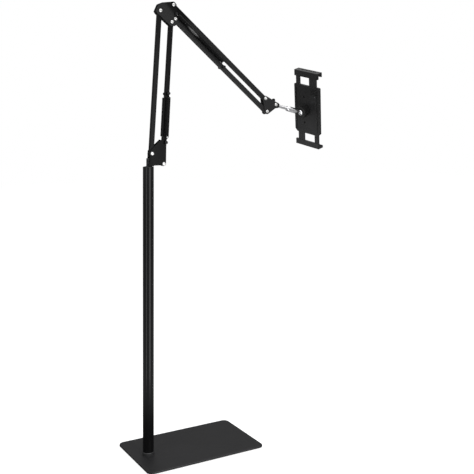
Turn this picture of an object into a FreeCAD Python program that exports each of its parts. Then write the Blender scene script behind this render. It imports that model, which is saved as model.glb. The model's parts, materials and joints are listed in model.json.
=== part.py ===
import FreeCAD, Part
import math
import os
import Sketcher
from FreeCAD import Placement, Rotation, Vector

# Floor stand with a balanced double arm and a sprung two-jaw clamp.
# The pole axis is the Z axis, the floor is Z = 0 and the arm lies in the XZ plane.
# Lengths are in millimetres and angles in degrees.
SIZES = {
    # Base plate, feet and pole
    "base_length": 292,
    "base_width": 185,
    "base_thickness": 3.5,
    "base_corner": 14,
    "base_edge": 0.8,
    "pole_from_end": 38,
    "foot_diameter": 18,
    "foot_height": 2,
    "foot_inset": 22,
    "pole_diameter": 25,
    "pole_wall": 1.5,
    "pole_length": 652.5,
    "trim_ring_width": 1.2,
    "trim_ring_height": 7,
    "slug_length": 26,
    "base_screw_diameter": 8,
    "base_screw_head": 14,
    "base_screw_cone": 2.6,
    "base_screw_reach": 20,
    # Swivel at the top of the pole
    "cap_flange": 1.5,
    "bush_length": 44,
    "spindle_diameter": 10,
    "spindle_rise": 18.5,
    "spindle_groove": 1.1,
    "clip_diameter": 16,
    "swivel_washer_diameter": 18,
    "swivel_washer_thickness": 0.8,
    # Square arm tubes and the sheet brackets that carry them
    "tube_size": 10,
    "tube_wall": 1.1,
    "tube_edge": 0.8,
    "arm_length": 327.5,
    "lower_tilt": 3.6,
    "upper_drop": 40,
    "sheet_thickness": 1.6,
    "washer_thickness": 0.5,
    "washer_diameter": 9,
    # Pivot places, each from the pivot before it
    "rear_pivot_x": 6.5,
    "rear_pivot_rise": 28.9,
    "front_pivot_x": 28.9,
    "front_pivot_drop": 23.9,
    "elbow_x": 33,
    "elbow_rise": 15.9,
    "upper_pair_x": 4.8,
    "upper_pair_drop": 31.9,
    "tilt_pivot_x": 30.3,
    "tilt_pivot_drop": 14.9,
    # Bolts and nuts
    "pivot_bolt_diameter": 5,
    "bolt_head_diameter": 8.6,
    "bolt_head_height": 2.8,
    "nut_width": 8,
    "nut_height": 4,
    # Balance springs and what they hook on
    "spring_outer": 9.4,
    "spring_wire": 2.4,
    "spring_turns": 25,
    "spring_offset": 10.6,
    "stud_diameter": 4,
    "stud_head_diameter": 7,
    "stud_head_height": 1.6,
    "lower_stud_x": 33,
    "lower_stud_rise": 25.2,
    "upper_stud_x": 38.5,
    "upper_stud_drop": 5.1,
    "lower_hook_place": 162,
    "upper_hook_place": 165,
    "lower_spring_lead": 14,
    "upper_spring_lead": 16,
    "spring_tail": 9,
    "hook_bolt_overhang": 2,
    # Tilt joint, rod and ball
    "end_plate_corner": 6.8,
    "eye_radius": 7,
    "eye_length": 13,
    "rod_drop": 12.4,
    "rod_diameter": 8,
    "rod_socket": 5,
    "rod_screw_diameter": 2.5,
    "rod_groove": 0.9,
    "rod_length": 38.5,
    "sleeve_diameter": 13.4,
    "sleeve_length": 34.7,
    "sleeve_chamfer": 0.8,
    "neck_diameter": 5,
    "ball_place": 84,
    "ball_diameter": 16,
    "knob_wing_reach": 13.8,
    "knob_wing_radius": 4.2,
    "knob_wing_turn": 63,
    "knob_wing_thickness": 4.5,
    "knob_hub_diameter": 13,
    "knob_hub_length": 9,
    # Ball socket on the back of the clamp
    "ball_to_clamp": 19.8,
    "socket_diameter": 27,
    "socket_base": 12.5,
    "thread_diameter": 24,
    "socket_bore": 21,
    "cup_wall": 2.4,
    "ring_diameter": 31,
    "ring_opening_angle": 62,
    "grip_groove_count": 24,
    "grip_groove_diameter": 2,
    # Clamp body, turned to the pose of the rest position
    "clamp_turn": -73,
    "clamp_lean": 12.8,
    "clamp_tip": 18,
    "clamp_width": 82,
    "clamp_height": 131,
    "clamp_shift": 2.2,
    "clamp_rise": 1.1,
    "clamp_corner": 7,
    "rear_shell": 5,
    "front_shell": 2,
    "shell_floor": 1.7,
    "grip_pad": 1,
    "grip_pad_margin": 5,
    "clamp_screw_diameter": 5.5,
    "clamp_screw_recess": 1.2,
    "clamp_screw_place": 35,
    "clamp_screw_shift": 6.8,
    # Jaws; a jaw's reach runs from the ball axis to the face that holds
    "upper_jaw_reach": 98,
    "upper_jaw_wall": 6,
    "upper_back_height": 15.8,
    "upper_hook_height": 12,
    "lower_jaw_reach": 95.8,
    "lower_jaw_wall": 4.5,
    "lower_back_height": 14.5,
    "lower_hook_height": 6.5,
    "jaw_width": 75,
    "jaw_shift": 0.8,
    "jaw_depth": 18.5,
    "jaw_back": 5.4,
    "jaw_edge": 0.9,
    "hook_thickness": 3,
    "rail_inner_end": 34,
    "upper_wide_rail": 23.6,
    "upper_wide_place": 21.3,
    "upper_narrow_rail": 12.8,
    "upper_narrow_place": -26.8,
    "lower_wide_rail": 20,
    "lower_wide_place": -19.1,
    "lower_narrow_rail": 13.6,
    "lower_narrow_place": 31.2,
    "jaw_lining": 1,
    # Clearances
    "running_gap": 0.05,
    "side_gap": 0.1,
    "slide_gap": 0.2,
    "hook_gap": 0.3,
}

doc = FreeCAD.newDocument("floor_stand")
sheet = doc.addObject("Spreadsheet::Sheet", "sizes")
for row, (alias, number) in enumerate(SIZES.items(), start=1):
    sheet.set(f"A{row}", str(number))
    sheet.setAlias(f"A{row}", alias)
doc.recompute()


class Amount:
    """A number worked out from the sheet, kept with the expression that gives it."""

    def __init__(self, number, text):
        self.number = float(number)
        self.text = text

    def __add__(self, other):
        other = amount(other)
        return Amount(self.number + other.number, f"({self.text} + {other.text})")

    def __sub__(self, other):
        other = amount(other)
        return Amount(self.number - other.number, f"({self.text} - {other.text})")

    def __mul__(self, other):
        other = amount(other)
        return Amount(self.number * other.number, f"({self.text} * {other.text})")

    def __truediv__(self, other):
        other = amount(other)
        return Amount(self.number / other.number, f"({self.text} / {other.text})")

    def __neg__(self):
        return Amount(-self.number, f"(0 - {self.text})")

    def __radd__(self, other):
        return amount(other) + self

    def __rsub__(self, other):
        return amount(other) - self

    def __rmul__(self, other):
        return amount(other) * self


def amount(value):
    return value if isinstance(value, Amount) else Amount(value, repr(float(value)))


def sine(angle):
    return Amount(math.sin(math.radians(angle.number)), f"sin({angle.text})")


def cosine(angle):
    return Amount(math.cos(math.radians(angle.number)), f"cos({angle.text})")


class Sizes:
    """Reads a driving size from the sheet as an Amount."""

    def __getattr__(self, alias):
        return Amount(sheet.get(alias), f"sizes.{alias}")


S = Sizes()


def bind(target, prop, value):
    target.setExpression(prop, amount(value).text)


# Sketch and feature helpers

PLANES = {"x": "YZ_Plane", "y": "XZ_Plane", "z": "XY_Plane"}


def new_body(name):
    body = doc.addObject("PartDesign::Body", name)
    body.Label = name
    body.AllowCompound = True
    return body


def origin_feature(body, role):
    return next(f for f in body.Origin.OriginFeatures if f.Role == role)


def new_sketch(body, axis, place=0):
    """A sketch square to an axis at a place on it; on the Y axis its drawing is X and Z."""
    sketch = body.newObject("Sketcher::SketchObject", f"{body.Name}_sketch")
    sketch.AttachmentSupport = (origin_feature(body, PLANES[axis]), "")
    sketch.MapMode = "FlatFace"
    bind(sketch, "AttachmentOffset.Base.z", -amount(place) if axis == "y" else place)
    return sketch


def constrain(sketch, kind, value, *where):
    index = sketch.addConstraint(Sketcher.Constraint(kind, *where, amount(value).number))
    bind(sketch, f"Constraints[{index}]", value)


def put_point(sketch, geometry, point, x, y):
    constrain(sketch, "DistanceX", x, -1, 1, geometry, point)
    constrain(sketch, "DistanceY", y, -1, 1, geometry, point)


def draw_circle(sketch, x, y, radius):
    centre = Vector(amount(x).number, amount(y).number, 0)
    circle = sketch.addGeometry(Part.Circle(centre, Vector(0, 0, 1), amount(radius).number))
    constrain(sketch, "Radius", radius, circle)
    put_point(sketch, circle, 3, x, y)


def draw_polygon(sketch, corners):
    ends = [Vector(amount(x).number, amount(y).number, 0) for x, y in corners]
    first = len(sketch.Geometry)
    for start, end in zip(ends, ends[1:] + ends[:1]):
        sketch.addGeometry(Part.LineSegment(start, end))
    count = len(corners)
    for i in range(count):
        joint = Sketcher.Constraint("Coincident", first + i, 2, first + (i + 1) % count, 1)
        sketch.addConstraint(joint)
    for i, (x, y) in enumerate(corners):
        put_point(sketch, first + i, 1, x, y)


def draw_box(sketch, x_low, x_high, y_low, y_high):
    draw_polygon(sketch, [(x_low, y_low), (x_high, y_low), (x_high, y_high), (x_low, y_high)])


def draw_hull(sketch, centres, radius):
    """Arcs of one radius round the centres, counterclockwise, joined by tangent lines."""
    r = amount(radius).number
    spots = [Vector(amount(x).number, amount(y).number, 0) for x, y in centres]
    count = len(spots)
    sides = [(spots[(i + 1) % count] - spots[i]).normalize() for i in range(count)]
    normals = [Vector(side.y, -side.x, 0) for side in sides]
    for i, spot in enumerate(spots):
        start = math.atan2(normals[i - 1].y, normals[i - 1].x)
        end = math.atan2(normals[i].y, normals[i].x)
        circle = Part.Circle(spot, Vector(0, 0, 1), r)
        sketch.addGeometry(Part.ArcOfCircle(circle, start, end))
    for i, normal in enumerate(normals):
        offset = normal * r
        sketch.addGeometry(Part.LineSegment(spots[i] + offset, spots[(i + 1) % count] + offset))
    for i in range(count):
        line = count + i
        sketch.addConstraint(Sketcher.Constraint("Tangent", i, 2, line, 1))
        sketch.addConstraint(Sketcher.Constraint("Tangent", line, 2, (i + 1) % count, 1))
    for i, (x, y) in enumerate(centres):
        put_point(sketch, i, 3, x, y)
        constrain(sketch, "Radius", radius, i)


def pad(body, axis, low, high, draw):
    """Adds what draw puts in a sketch, from low to high along an axis."""
    sketch = new_sketch(body, axis, high if axis == "y" else low)
    draw(sketch)
    feature = body.newObject("PartDesign::Pad", f"{body.Name}_pad")
    feature.Profile = sketch
    bind(feature, "Length", amount(high) - low)
    doc.recompute()
    return feature


def cut(body, axis, low, high, draw):
    """Cuts what draw puts in a sketch, from low to high along an axis."""
    before = body.Shape.Volume
    sketch = new_sketch(body, axis, low if axis == "y" else high)
    draw(sketch)
    feature = body.newObject("PartDesign::Pocket", f"{body.Name}_cut")
    feature.Profile = sketch
    bind(feature, "Length", amount(high) - low)
    doc.recompute()
    if body.Shape.Volume > before - 1e-6:
        raise RuntimeError(f"{body.Label}: a cut removes nothing")
    return feature


def turn(body, axis, around, draw):
    """Revolves what draw puts in a sketch square to axis, about a sketch axis."""
    sketch = new_sketch(body, axis)
    draw(sketch)
    feature = body.newObject("PartDesign::Revolution", f"{body.Name}_turn")
    feature.Profile = sketch
    feature.ReferenceAxis = (sketch, [around])
    feature.Angle = 360
    doc.recompute()
    return feature


def sphere(body, kind, x, y, radius):
    """Adds or cuts a ball at a place in the XY plane of the body."""
    ball = body.newObject(f"PartDesign::{kind}Sphere", f"{body.Name}_ball")
    ball.AttachmentSupport = (origin_feature(body, "XY_Plane"), "")
    ball.MapMode = "FlatFace"
    bind(ball, "AttachmentOffset.Base.x", x)
    bind(ball, "AttachmentOffset.Base.y", y)
    bind(ball, "Radius", radius)
    doc.recompute()
    return ball


def dress(body, kind, prop, radius, wanted):
    """Fillets or chamfers the edges of the body's tip that wanted picks."""
    tip = body.Tip
    names = [f"Edge{i}" for i, edge in enumerate(tip.Shape.Edges, start=1) if wanted(edge)]
    feature = body.newObject(f"PartDesign::{kind}", f"{body.Name}_{kind.lower()}")
    feature.Base = (tip, names)
    bind(feature, prop, radius)
    doc.recompute()
    return feature


def fillet(body, radius, wanted):
    return dress(body, "Fillet", "Radius", radius, wanted)


def chamfer(body, size, wanted):
    return dress(body, "Chamfer", "Size", size, wanted)


def runs_along(edge, axis):
    """True for a straight edge parallel to an axis."""
    if edge.Curve.TypeId != "Part::GeomLine":
        return False
    return abs(getattr(edge.Curve.Direction, axis)) > 0.999


def lies_at(edge, axis, place):
    """True for an edge that lies wholly at a place on an axis."""
    low = getattr(edge.BoundBox, f"{axis.upper()}Min")
    high = getattr(edge.BoundBox, f"{axis.upper()}Max")
    return abs(low - place) < 0.01 and abs(high - place) < 0.01


def place_body(body, x, z):
    bind(body, "Placement.Base.x", x)
    bind(body, "Placement.Base.z", z)


# Heights up the pole, pivots of the arm, and the distances across its plane

base_top = S.foot_height + S.base_thickness
tube_top = base_top + S.pole_length
pole_top = tube_top + S.cap_flange
bracket_bottom = pole_top + S.swivel_washer_thickness

rear_pivot = (S.rear_pivot_x, bracket_bottom + S.rear_pivot_rise)
front_step = (S.front_pivot_x, -S.front_pivot_drop)
upper_step = (S.upper_pair_x, -S.upper_pair_drop)
lower_run = (S.arm_length * sine(S.lower_tilt), S.arm_length * cosine(S.lower_tilt))
upper_run = (S.arm_length * cosine(S.upper_drop), -(S.arm_length * sine(S.upper_drop)))


def shifted(point, step):
    return (point[0] + step[0], point[1] + step[1])


front_pivot = shifted(rear_pivot, front_step)
elbow_pivot = shifted(rear_pivot, lower_run)
elbow_front_pivot = shifted(elbow_pivot, front_step)
upper_pivot = shifted(elbow_pivot, (S.elbow_x, S.elbow_rise))
under_pivot = shifted(upper_pivot, upper_step)
end_pivot = shifted(upper_pivot, upper_run)
end_under_pivot = shifted(end_pivot, upper_step)
tilt_pivot = shifted(end_pivot, (S.tilt_pivot_x, -S.tilt_pivot_drop))
lower_stud = shifted(rear_pivot, (S.lower_stud_x, S.lower_stud_rise))
upper_stud = shifted(elbow_pivot, (S.upper_stud_x, -S.upper_stud_drop))

half_tube = S.tube_size / 2
plate_inside = half_tube + S.washer_thickness + S.side_gap
plate_outside = plate_inside + S.sheet_thickness
bolt_radius = S.pivot_bolt_diameter / 2
hole_radius = bolt_radius + S.running_gap
spring_radius = (S.spring_outer - S.spring_wire) / 2
hook_inside = S.spring_offset - S.spring_wire / 2 - S.side_gap
hook_outside = S.spring_offset + S.spring_wire / 2 + S.side_gap


# Base and pole


def make_base_plate():
    body = new_body("base_plate")
    left = -S.pole_from_end
    half_width = S.base_width / 2
    pad(body, "z", 0, S.base_thickness,
        lambda s: draw_box(s, left, left + S.base_length, -half_width, half_width))
    fillet(body, S.base_corner, lambda e: runs_along(e, "z"))
    head = S.base_screw_head / 2 + S.running_gap
    shank = S.base_screw_diameter / 2 + S.running_gap

    def countersink(s):
        draw_polygon(s, [(0, -1), (head, -1), (head, 0), (shank, S.base_screw_cone),
                         (shank, S.base_thickness + 1), (0, S.base_thickness + 1)])

    groove = new_sketch(body, "y")
    countersink(groove)
    hole = body.newObject("PartDesign::Groove", "base_plate_hole")
    hole.Profile = groove
    hole.ReferenceAxis = (groove, ["V_Axis"])
    hole.Angle = 360
    doc.recompute()
    fillet(body, S.base_edge, lambda e: lies_at(e, "z", S.base_thickness.number) and e.Length > 12.6)
    bind(body, "Placement.Base.z", S.foot_height)


def make_base_feet():
    """Four feet near the corners and one under the pole, over the screw's head."""
    body = new_body("base_feet")
    left = -S.pole_from_end + S.foot_inset
    right = -S.pole_from_end + S.base_length - S.foot_inset
    back = S.base_width / 2 - S.foot_inset

    def feet(s):
        for x in (left, right):
            for y in (-back, back):
                draw_circle(s, x, y, S.foot_diameter / 2)
        draw_circle(s, 0, 0, S.foot_diameter / 2)

    pad(body, "z", 0, S.foot_height, feet)
    chamfer(body, S.foot_height / 4, lambda e: lies_at(e, "z", 0))


def make_base_screw():
    body = new_body("base_screw")
    head = S.base_screw_head / 2
    shank = S.base_screw_diameter / 2
    top = S.base_thickness + S.base_screw_reach
    turn(body, "y", "V_Axis", lambda s: draw_polygon(s, [
        (0, 0), (head, 0), (shank, S.base_screw_cone - S.running_gap), (shank, top), (0, top)]))
    hexagon(body, "z", 0, S.base_screw_cone / 2, S.base_screw_diameter / 4, "cut")
    bind(body, "Placement.Base.z", S.foot_height)


def hexagon(body, axis, low, high, radius, action):
    """A six-sided recess or boss centred on the axis."""
    step = Amount(60, "60")
    corners = [(radius * cosine(step * i), radius * sine(step * i)) for i in range(6)]
    action = cut if action == "cut" else pad
    return action(body, axis, low, high, lambda s: draw_polygon(s, corners))


def make_pole():
    outside = S.pole_diameter / 2
    inside = outside - S.pole_wall

    tube = new_body("pole_tube")
    pad(tube, "z", 0, S.pole_length, lambda s: [draw_circle(s, 0, 0, r) for r in (outside, inside)])
    bind(tube, "Placement.Base.z", base_top)

    slug = new_body("pole_slug")
    pad(slug, "z", 0, S.slug_length, lambda s: [
        draw_circle(s, 0, 0, r)
        for r in (inside - S.running_gap, S.base_screw_diameter / 2 + S.running_gap)])
    bind(slug, "Placement.Base.z", base_top)

    ring = new_body("pole_trim_ring")
    rim = outside + S.trim_ring_width
    pad(ring, "z", 0, S.trim_ring_height,
        lambda s: [draw_circle(s, 0, 0, r) for r in (rim, outside + S.running_gap)])
    chamfer(ring, S.trim_ring_width * 0.6,
            lambda e: lies_at(e, "z", S.trim_ring_height.number) and e.Length > 6.2 * outside.number + 3)
    bind(ring, "Placement.Base.z", base_top)

    bush = new_body("pole_top_bush")
    bore = S.spindle_diameter / 2 + S.running_gap
    body_radius = inside - S.running_gap
    turn(bush, "y", "V_Axis", lambda s: draw_polygon(s, [
        (bore, S.cap_flange), (outside, S.cap_flange), (outside, 0), (body_radius, 0),
        (body_radius, -S.bush_length), (bore, -S.bush_length)]))
    fillet(bush, S.cap_flange / 3,
           lambda e: lies_at(e, "z", S.cap_flange.number) and e.Length > 6 * outside.number)
    bind(bush, "Placement.Base.z", tube_top)


# Swivel and lower bracket


def make_swivel():
    shaft = S.spindle_diameter / 2
    low = -S.bush_length - S.cap_flange - S.swivel_washer_thickness - 4
    groove_top = low + 4 - S.side_gap
    groove_low = groove_top - S.spindle_groove - S.side_gap

    spindle = new_body("swivel_spindle")
    turn(spindle, "y", "V_Axis", lambda s: draw_polygon(s, [
        (0, low), (shaft, low), (shaft, groove_low), (shaft * 0.75, groove_low),
        (shaft * 0.75, groove_top), (shaft, groove_top), (shaft, S.spindle_rise),
        (0, S.spindle_rise)]))
    chamfer(spindle, shaft * 0.2, lambda e: lies_at(e, "z", S.spindle_rise.number))
    bind(spindle, "Placement.Base.z", bracket_bottom)

    clip = new_body("spindle_clip")
    pad(clip, "z", groove_low + S.running_gap, groove_top - S.running_gap, lambda s: [
        draw_circle(s, 0, 0, r) for r in (S.clip_diameter / 2, shaft * 0.75 + S.running_gap)])
    bind(clip, "Placement.Base.z", bracket_bottom)

    washer = new_body("swivel_washer")
    pad(washer, "z", -S.swivel_washer_thickness, 0, lambda s: [
        draw_circle(s, 0, 0, r) for r in (S.swivel_washer_diameter / 2, shaft + S.running_gap)])
    bind(washer, "Placement.Base.z", bracket_bottom)


def make_lower_bracket():
    """Folded channel: two cheeks joined by a short floor that lies on the pole's top."""
    body = new_body("lower_bracket")
    right = S.rear_pivot_x + S.front_pivot_x + half_tube + 0.5
    shelf = S.rear_pivot_rise - S.front_pivot_drop - 3.2
    corners = [
        (-2, 0),
        (10, 0),
        (10 + shelf, shelf),
        (right, shelf),
        (S.rear_pivot_x + S.lower_stud_x + 2.2, S.rear_pivot_rise + S.lower_stud_rise - 3.5),
        (S.rear_pivot_x + S.lower_stud_x - 1.5, S.rear_pivot_rise + S.lower_stud_rise + 4.5),
        (S.rear_pivot_x + S.lower_stud_x - 9.5, S.rear_pivot_rise + S.lower_stud_rise + 6.8),
        (S.rear_pivot_x - 5, S.rear_pivot_rise + 7),
        (S.rear_pivot_x - 6.4, 10),
    ]
    pad(body, "y", -plate_outside, plate_outside, lambda s: draw_polygon(s, corners))
    beyond = S.lower_stud_rise
    cut(body, "y", -plate_inside, plate_inside, lambda s: draw_box(
        s, -beyond, right + beyond, S.sheet_thickness, S.rear_pivot_rise + 2 * beyond))
    rounded = {3: 5, 4: 2, 5: 3, 6: 2, 7: 2}
    for index, radius in rounded.items():
        spot = [amount(c).number for c in corners[index]]
        fillet(body, radius, lambda e: runs_along(e, "y") and e.Length < 3
               and abs(e.CenterOfMass.x - spot[0]) < 0.05 and abs(e.CenterOfMass.z - spot[1]) < 0.05)
    fillet(body, S.sheet_thickness * 0.8, lambda e: runs_along(e, "x") and lies_at(e, "z", 0))
    pivots = [(S.rear_pivot_x, S.rear_pivot_rise),
              (S.rear_pivot_x + S.front_pivot_x, S.rear_pivot_rise - S.front_pivot_drop)]
    cut(body, "y", -plate_outside - 1, plate_outside + 1,
        lambda s: [draw_circle(s, x, z, hole_radius) for x, z in pivots])
    cut(body, "y", -plate_outside - 1, plate_outside + 1, lambda s: draw_circle(
        s, S.rear_pivot_x + S.lower_stud_x, S.rear_pivot_rise + S.lower_stud_rise,
        S.stud_diameter * 0.35 + S.running_gap))
    cut(body, "z", -1, S.sheet_thickness + 1,
        lambda s: draw_circle(s, 0, 0, S.spindle_diameter / 2 + S.running_gap))
    bind(body, "Placement.Base.z", bracket_bottom)


# Square tubes, plates, washers and bolts shared by both arms


def make_tube(name, pivot, tilt, hook_place=None):
    """Square tube with rounded ends; its own X axis runs from pivot to pivot."""
    body = new_body(name)
    pad(body, "y", -half_tube, half_tube,
        lambda s: draw_hull(s, [(0, 0), (S.arm_length, 0)], half_tube))
    fillet(body, S.tube_edge, lambda e: lies_at(e, "y", half_tube.number)
           or lies_at(e, "y", -half_tube.number))
    bore = half_tube - S.tube_wall
    cut(body, "x", -half_tube - 1, S.arm_length + half_tube + 1,
        lambda s: draw_box(s, -bore, bore, -bore, bore))
    cut(body, "y", -half_tube - 1, half_tube + 1,
        lambda s: [draw_circle(s, x, 0, hole_radius) for x in (0, S.arm_length)])
    if hook_place is not None:
        cut(body, "y", -half_tube - 1, half_tube + 1, lambda s: draw_circle(
            s, hook_place, 0, S.stud_diameter / 2 + S.running_gap))
    body.Placement = Placement(Vector(), Rotation(Vector(0, -1, 0), 0))
    bind(body, "Placement.Rotation.Angle", tilt)
    place_body(body, *pivot)


def make_washers(name, centres, origin, shaft_radius):
    body = new_body(name)
    for low in (-half_tube - S.side_gap - S.washer_thickness, half_tube + S.side_gap):
        pad(body, "y", low, low + S.washer_thickness, lambda s: [
            draw_circle(s, x, z, r)
            for x, z in centres for r in (S.washer_diameter / 2, shaft_radius)])
    place_body(body, *origin)


def make_bolts(name, centres, origin, far_end):
    """Round-headed pivot bolts, heads on the near side of the arm."""
    body = new_body(name)
    near = -plate_outside
    pad(body, "y", near, far_end, lambda s: [draw_circle(s, x, z, bolt_radius) for x, z in centres])
    pad(body, "y", near - S.bolt_head_height, near,
        lambda s: [draw_circle(s, x, z, S.bolt_head_diameter / 2) for x, z in centres])
    face = (near - S.bolt_head_height).number
    fillet(body, S.bolt_head_height * 0.7, lambda e: lies_at(e, "y", face))
    place_body(body, *origin)
    return body


def make_nuts(name, centres, origin):
    body = new_body(name)
    step = Amount(60, "60")
    outer = S.nut_width / 2 / cosine(Amount(30, "30"))

    def nut_outlines(s):
        for x, z in centres:
            draw_polygon(s, [(x + outer * cosine(step * i), z + outer * sine(step * i))
                             for i in range(6)])
            draw_circle(s, x, z, bolt_radius + S.running_gap)

    pad(body, "y", plate_outside, plate_outside + S.nut_height, nut_outlines)
    place_body(body, *origin)


def joint_set(place, centres, origin):
    """Washers, bolts and nuts of one bracket's pivots."""
    far_end = plate_outside + S.nut_height + 0.6
    make_washers(f"{place}_washers", centres, origin, hole_radius)
    make_bolts(f"{place}_bolts", centres, origin, far_end)
    make_nuts(f"{place}_nuts", centres, origin)


def make_plate(name, side, outline, pivots, origin, stud=None):
    """One flat cheek on the near (-1) or far (+1) side of the arm's plane."""
    body = new_body(name)
    low, high = (-plate_outside, -plate_inside) if side < 0 else (plate_inside, plate_outside)
    pad(body, "y", low, high, outline)
    cut(body, "y", low - 1, high + 1,
        lambda s: [draw_circle(s, x, z, hole_radius) for x, z in pivots])
    if stud is not None:
        cut(body, "y", low - 1, high + 1, lambda s: draw_circle(
            s, stud[0], stud[1], S.stud_diameter * 0.35 + S.running_gap))
    place_body(body, *origin)
    return body


def make_elbow():
    pivots = [(0, 0), front_step, (S.elbow_x, S.elbow_rise),
              (S.elbow_x + S.upper_pair_x, S.elbow_rise - S.upper_pair_drop)]
    stud = (S.upper_stud_x, -S.upper_stud_drop)
    corners = [
        (-11.5, -1.5),
        (-8, -6.2),
        (S.front_pivot_x - 1.5, -S.front_pivot_drop - 10),
        (S.front_pivot_x + 9.5, -S.front_pivot_drop - 8.5),
        (S.elbow_x + S.upper_pair_x + 5.6, S.elbow_rise - S.upper_pair_drop - 2),
        (S.elbow_x + 7.6, S.elbow_rise + 2),
        (S.elbow_x + 1.5, S.elbow_rise + 8),
        (3.8, S.elbow_rise + 3.3),
        (-3.8, S.elbow_rise - 0.4),
    ]
    radii = [3, 3, 5, 5, 4, 5, 5, 3, 3]
    for name, side in (("elbow_plate_near", -1), ("elbow_plate_far", 1)):
        body = make_plate(name, side, lambda s: draw_polygon(s, corners), pivots, elbow_pivot, stud)
        for (x, z), radius in zip(corners, radii):
            spot = (amount(x).number, amount(z).number)
            fillet(body, radius, lambda e: runs_along(e, "y")
                   and abs(e.CenterOfMass.x - spot[0]) < 0.05
                   and abs(e.CenterOfMass.z - spot[1]) < 0.05)
    joint_set("elbow", pivots, elbow_pivot)


def make_end_bracket():
    tilt = (S.tilt_pivot_x, -S.tilt_pivot_drop)
    pivots = [(0, 0), upper_step]
    ring = [(0, 0), upper_step, tilt]
    for name, side in (("end_plate_near", -1), ("end_plate_far", 1)):
        make_plate(name, side, lambda s: draw_hull(s, ring, S.end_plate_corner),
                   ring, end_pivot)
    joint_set("end", pivots, end_pivot)
    make_washers("tilt_washers", [tilt], end_pivot, hole_radius)


# Studs, cross bolts and balance springs


def make_studs(name, place, origin_point):
    """Two riveted studs, one on the outside of each cheek."""
    body = new_body(name)
    rivet = S.stud_diameter * 0.35
    for side in (-1, 1):
        spans = [(plate_inside + S.side_gap, plate_outside, rivet),
                 (plate_outside, hook_outside, S.stud_diameter / 2),
                 (hook_outside, hook_outside + S.stud_head_height, S.stud_head_diameter / 2)]
        for near, far, radius in spans:
            low, high = (near, far) if side > 0 else (-far, -near)
            pad(body, "y", low, high, lambda s: draw_circle(s, 0, 0, radius))
    place_body(body, *place)


def make_hook_bolt(arm, tilt, pivot, hook_place):
    """Cross bolt through a tube, with a head and a nut outside the spring hooks."""
    x = pivot[0] + hook_place * cosine(tilt)
    z = pivot[1] - hook_place * sine(tilt)
    bolt = new_body(f"{arm}_spring_bolt")
    head = hook_outside + S.stud_head_height + 0.8
    pad(bolt, "y", -hook_outside, head + S.hook_bolt_overhang,
        lambda s: draw_circle(s, 0, 0, S.stud_diameter / 2))
    pad(bolt, "y", -head, -hook_outside, lambda s: draw_circle(s, 0, 0, S.stud_head_diameter / 2))
    fillet(bolt, S.stud_head_height * 0.7, lambda e: lies_at(e, "y", -head.number))
    place_body(bolt, x, z)

    nut = new_body(f"{arm}_spring_nut")
    hexagon(nut, "y", hook_outside, head, S.stud_head_diameter / 2, "pad")
    cut(nut, "y", hook_outside - 1, head + 1,
        lambda s: draw_circle(s, 0, 0, S.stud_diameter / 2 + S.running_gap))
    place_body(nut, x, z)
    return (x, z)


def biarc(start, start_way, end, end_way):
    """Two arcs that leave start and reach end along the given directions."""
    gap = end - start
    ways = start_way + end_way
    b = gap.dot(ways)
    a = 2 * (1 - start_way.dot(end_way))
    if abs(a) < 1e-9:
        d = gap.dot(gap) / (4 * gap.dot(end_way))
    else:
        d = (-b + math.sqrt(b * b + a * gap.dot(gap))) / a
    middle = (start + end + (start_way - end_way) * d) * 0.5
    return [arc_through(start, start_way, middle), arc_through(end, end_way * -1, middle, True)]


def arc_through(start, way, end, backward=False):
    """The arc from start, leaving along way, to end; backward turns it round."""
    chord = end - start
    side = chord - way * chord.dot(way)
    if side.Length < 1e-7:
        edge = Part.makeLine(start, end)
        return Part.makeLine(end, start) if backward else edge
    side.normalize()
    radius = chord.dot(chord) / (2 * chord.dot(side))
    centre = start + side * radius
    outward = start + chord * 0.5 - centre
    outward.normalize()
    if chord.dot(way) < 0:
        outward = outward * -1
    between = centre + outward * radius
    if backward:
        return Part.Arc(end, between, start).toShape()
    return Part.Arc(start, between, end).toShape()


def spring_stations(length, low, high, radius, turns):
    """Points and directions of a spring wire from one hook loop to the other."""
    x, y, z = Vector(1, 0, 0), Vector(0, 1, 0), Vector(0, 0, 1)
    stations = [
        (z * radius, -x),
        (-x * radius, -z),
        (-z * radius, x),
        (x * radius, z),
        (x * radius + z * (low - radius), z),
    ]
    quarters = 4 * turns - 2
    pitch = (high - low) / quarters
    slope = pitch / (radius * math.pi / 2)
    for i in range(quarters + 1):
        angle = math.pi / 2 * (i + 1)
        spot = Vector(math.cos(angle), math.sin(angle), 0) * radius + z * (low + pitch * i)
        way = Vector(-math.sin(angle), math.cos(angle), slope)
        stations.append((spot, way.normalize()))
    stations += [
        (x * radius + z * (high + radius), z),
        (x * radius + z * length, z),
        (z * (length + radius), -x),
        (-x * radius + z * length, -z),
        (z * (length - radius), x),
    ]
    return stations


def least_gap(points, wire):
    """Least clear distance between stretches of the wire that aren't neighbours."""
    reach = 2.2 * wire
    runs = [0.0]
    for a, b in zip(points, points[1:]):
        runs.append(runs[-1] + (b - a).Length)
    gaps = []
    for i, a in enumerate(points):
        for j in range(i + 1, len(points)):
            if abs(a.z - points[j].z) < reach and runs[j] - runs[i] > 2 * reach:
                gaps.append((a - points[j]).Length)
    return min(gaps) - wire


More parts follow.
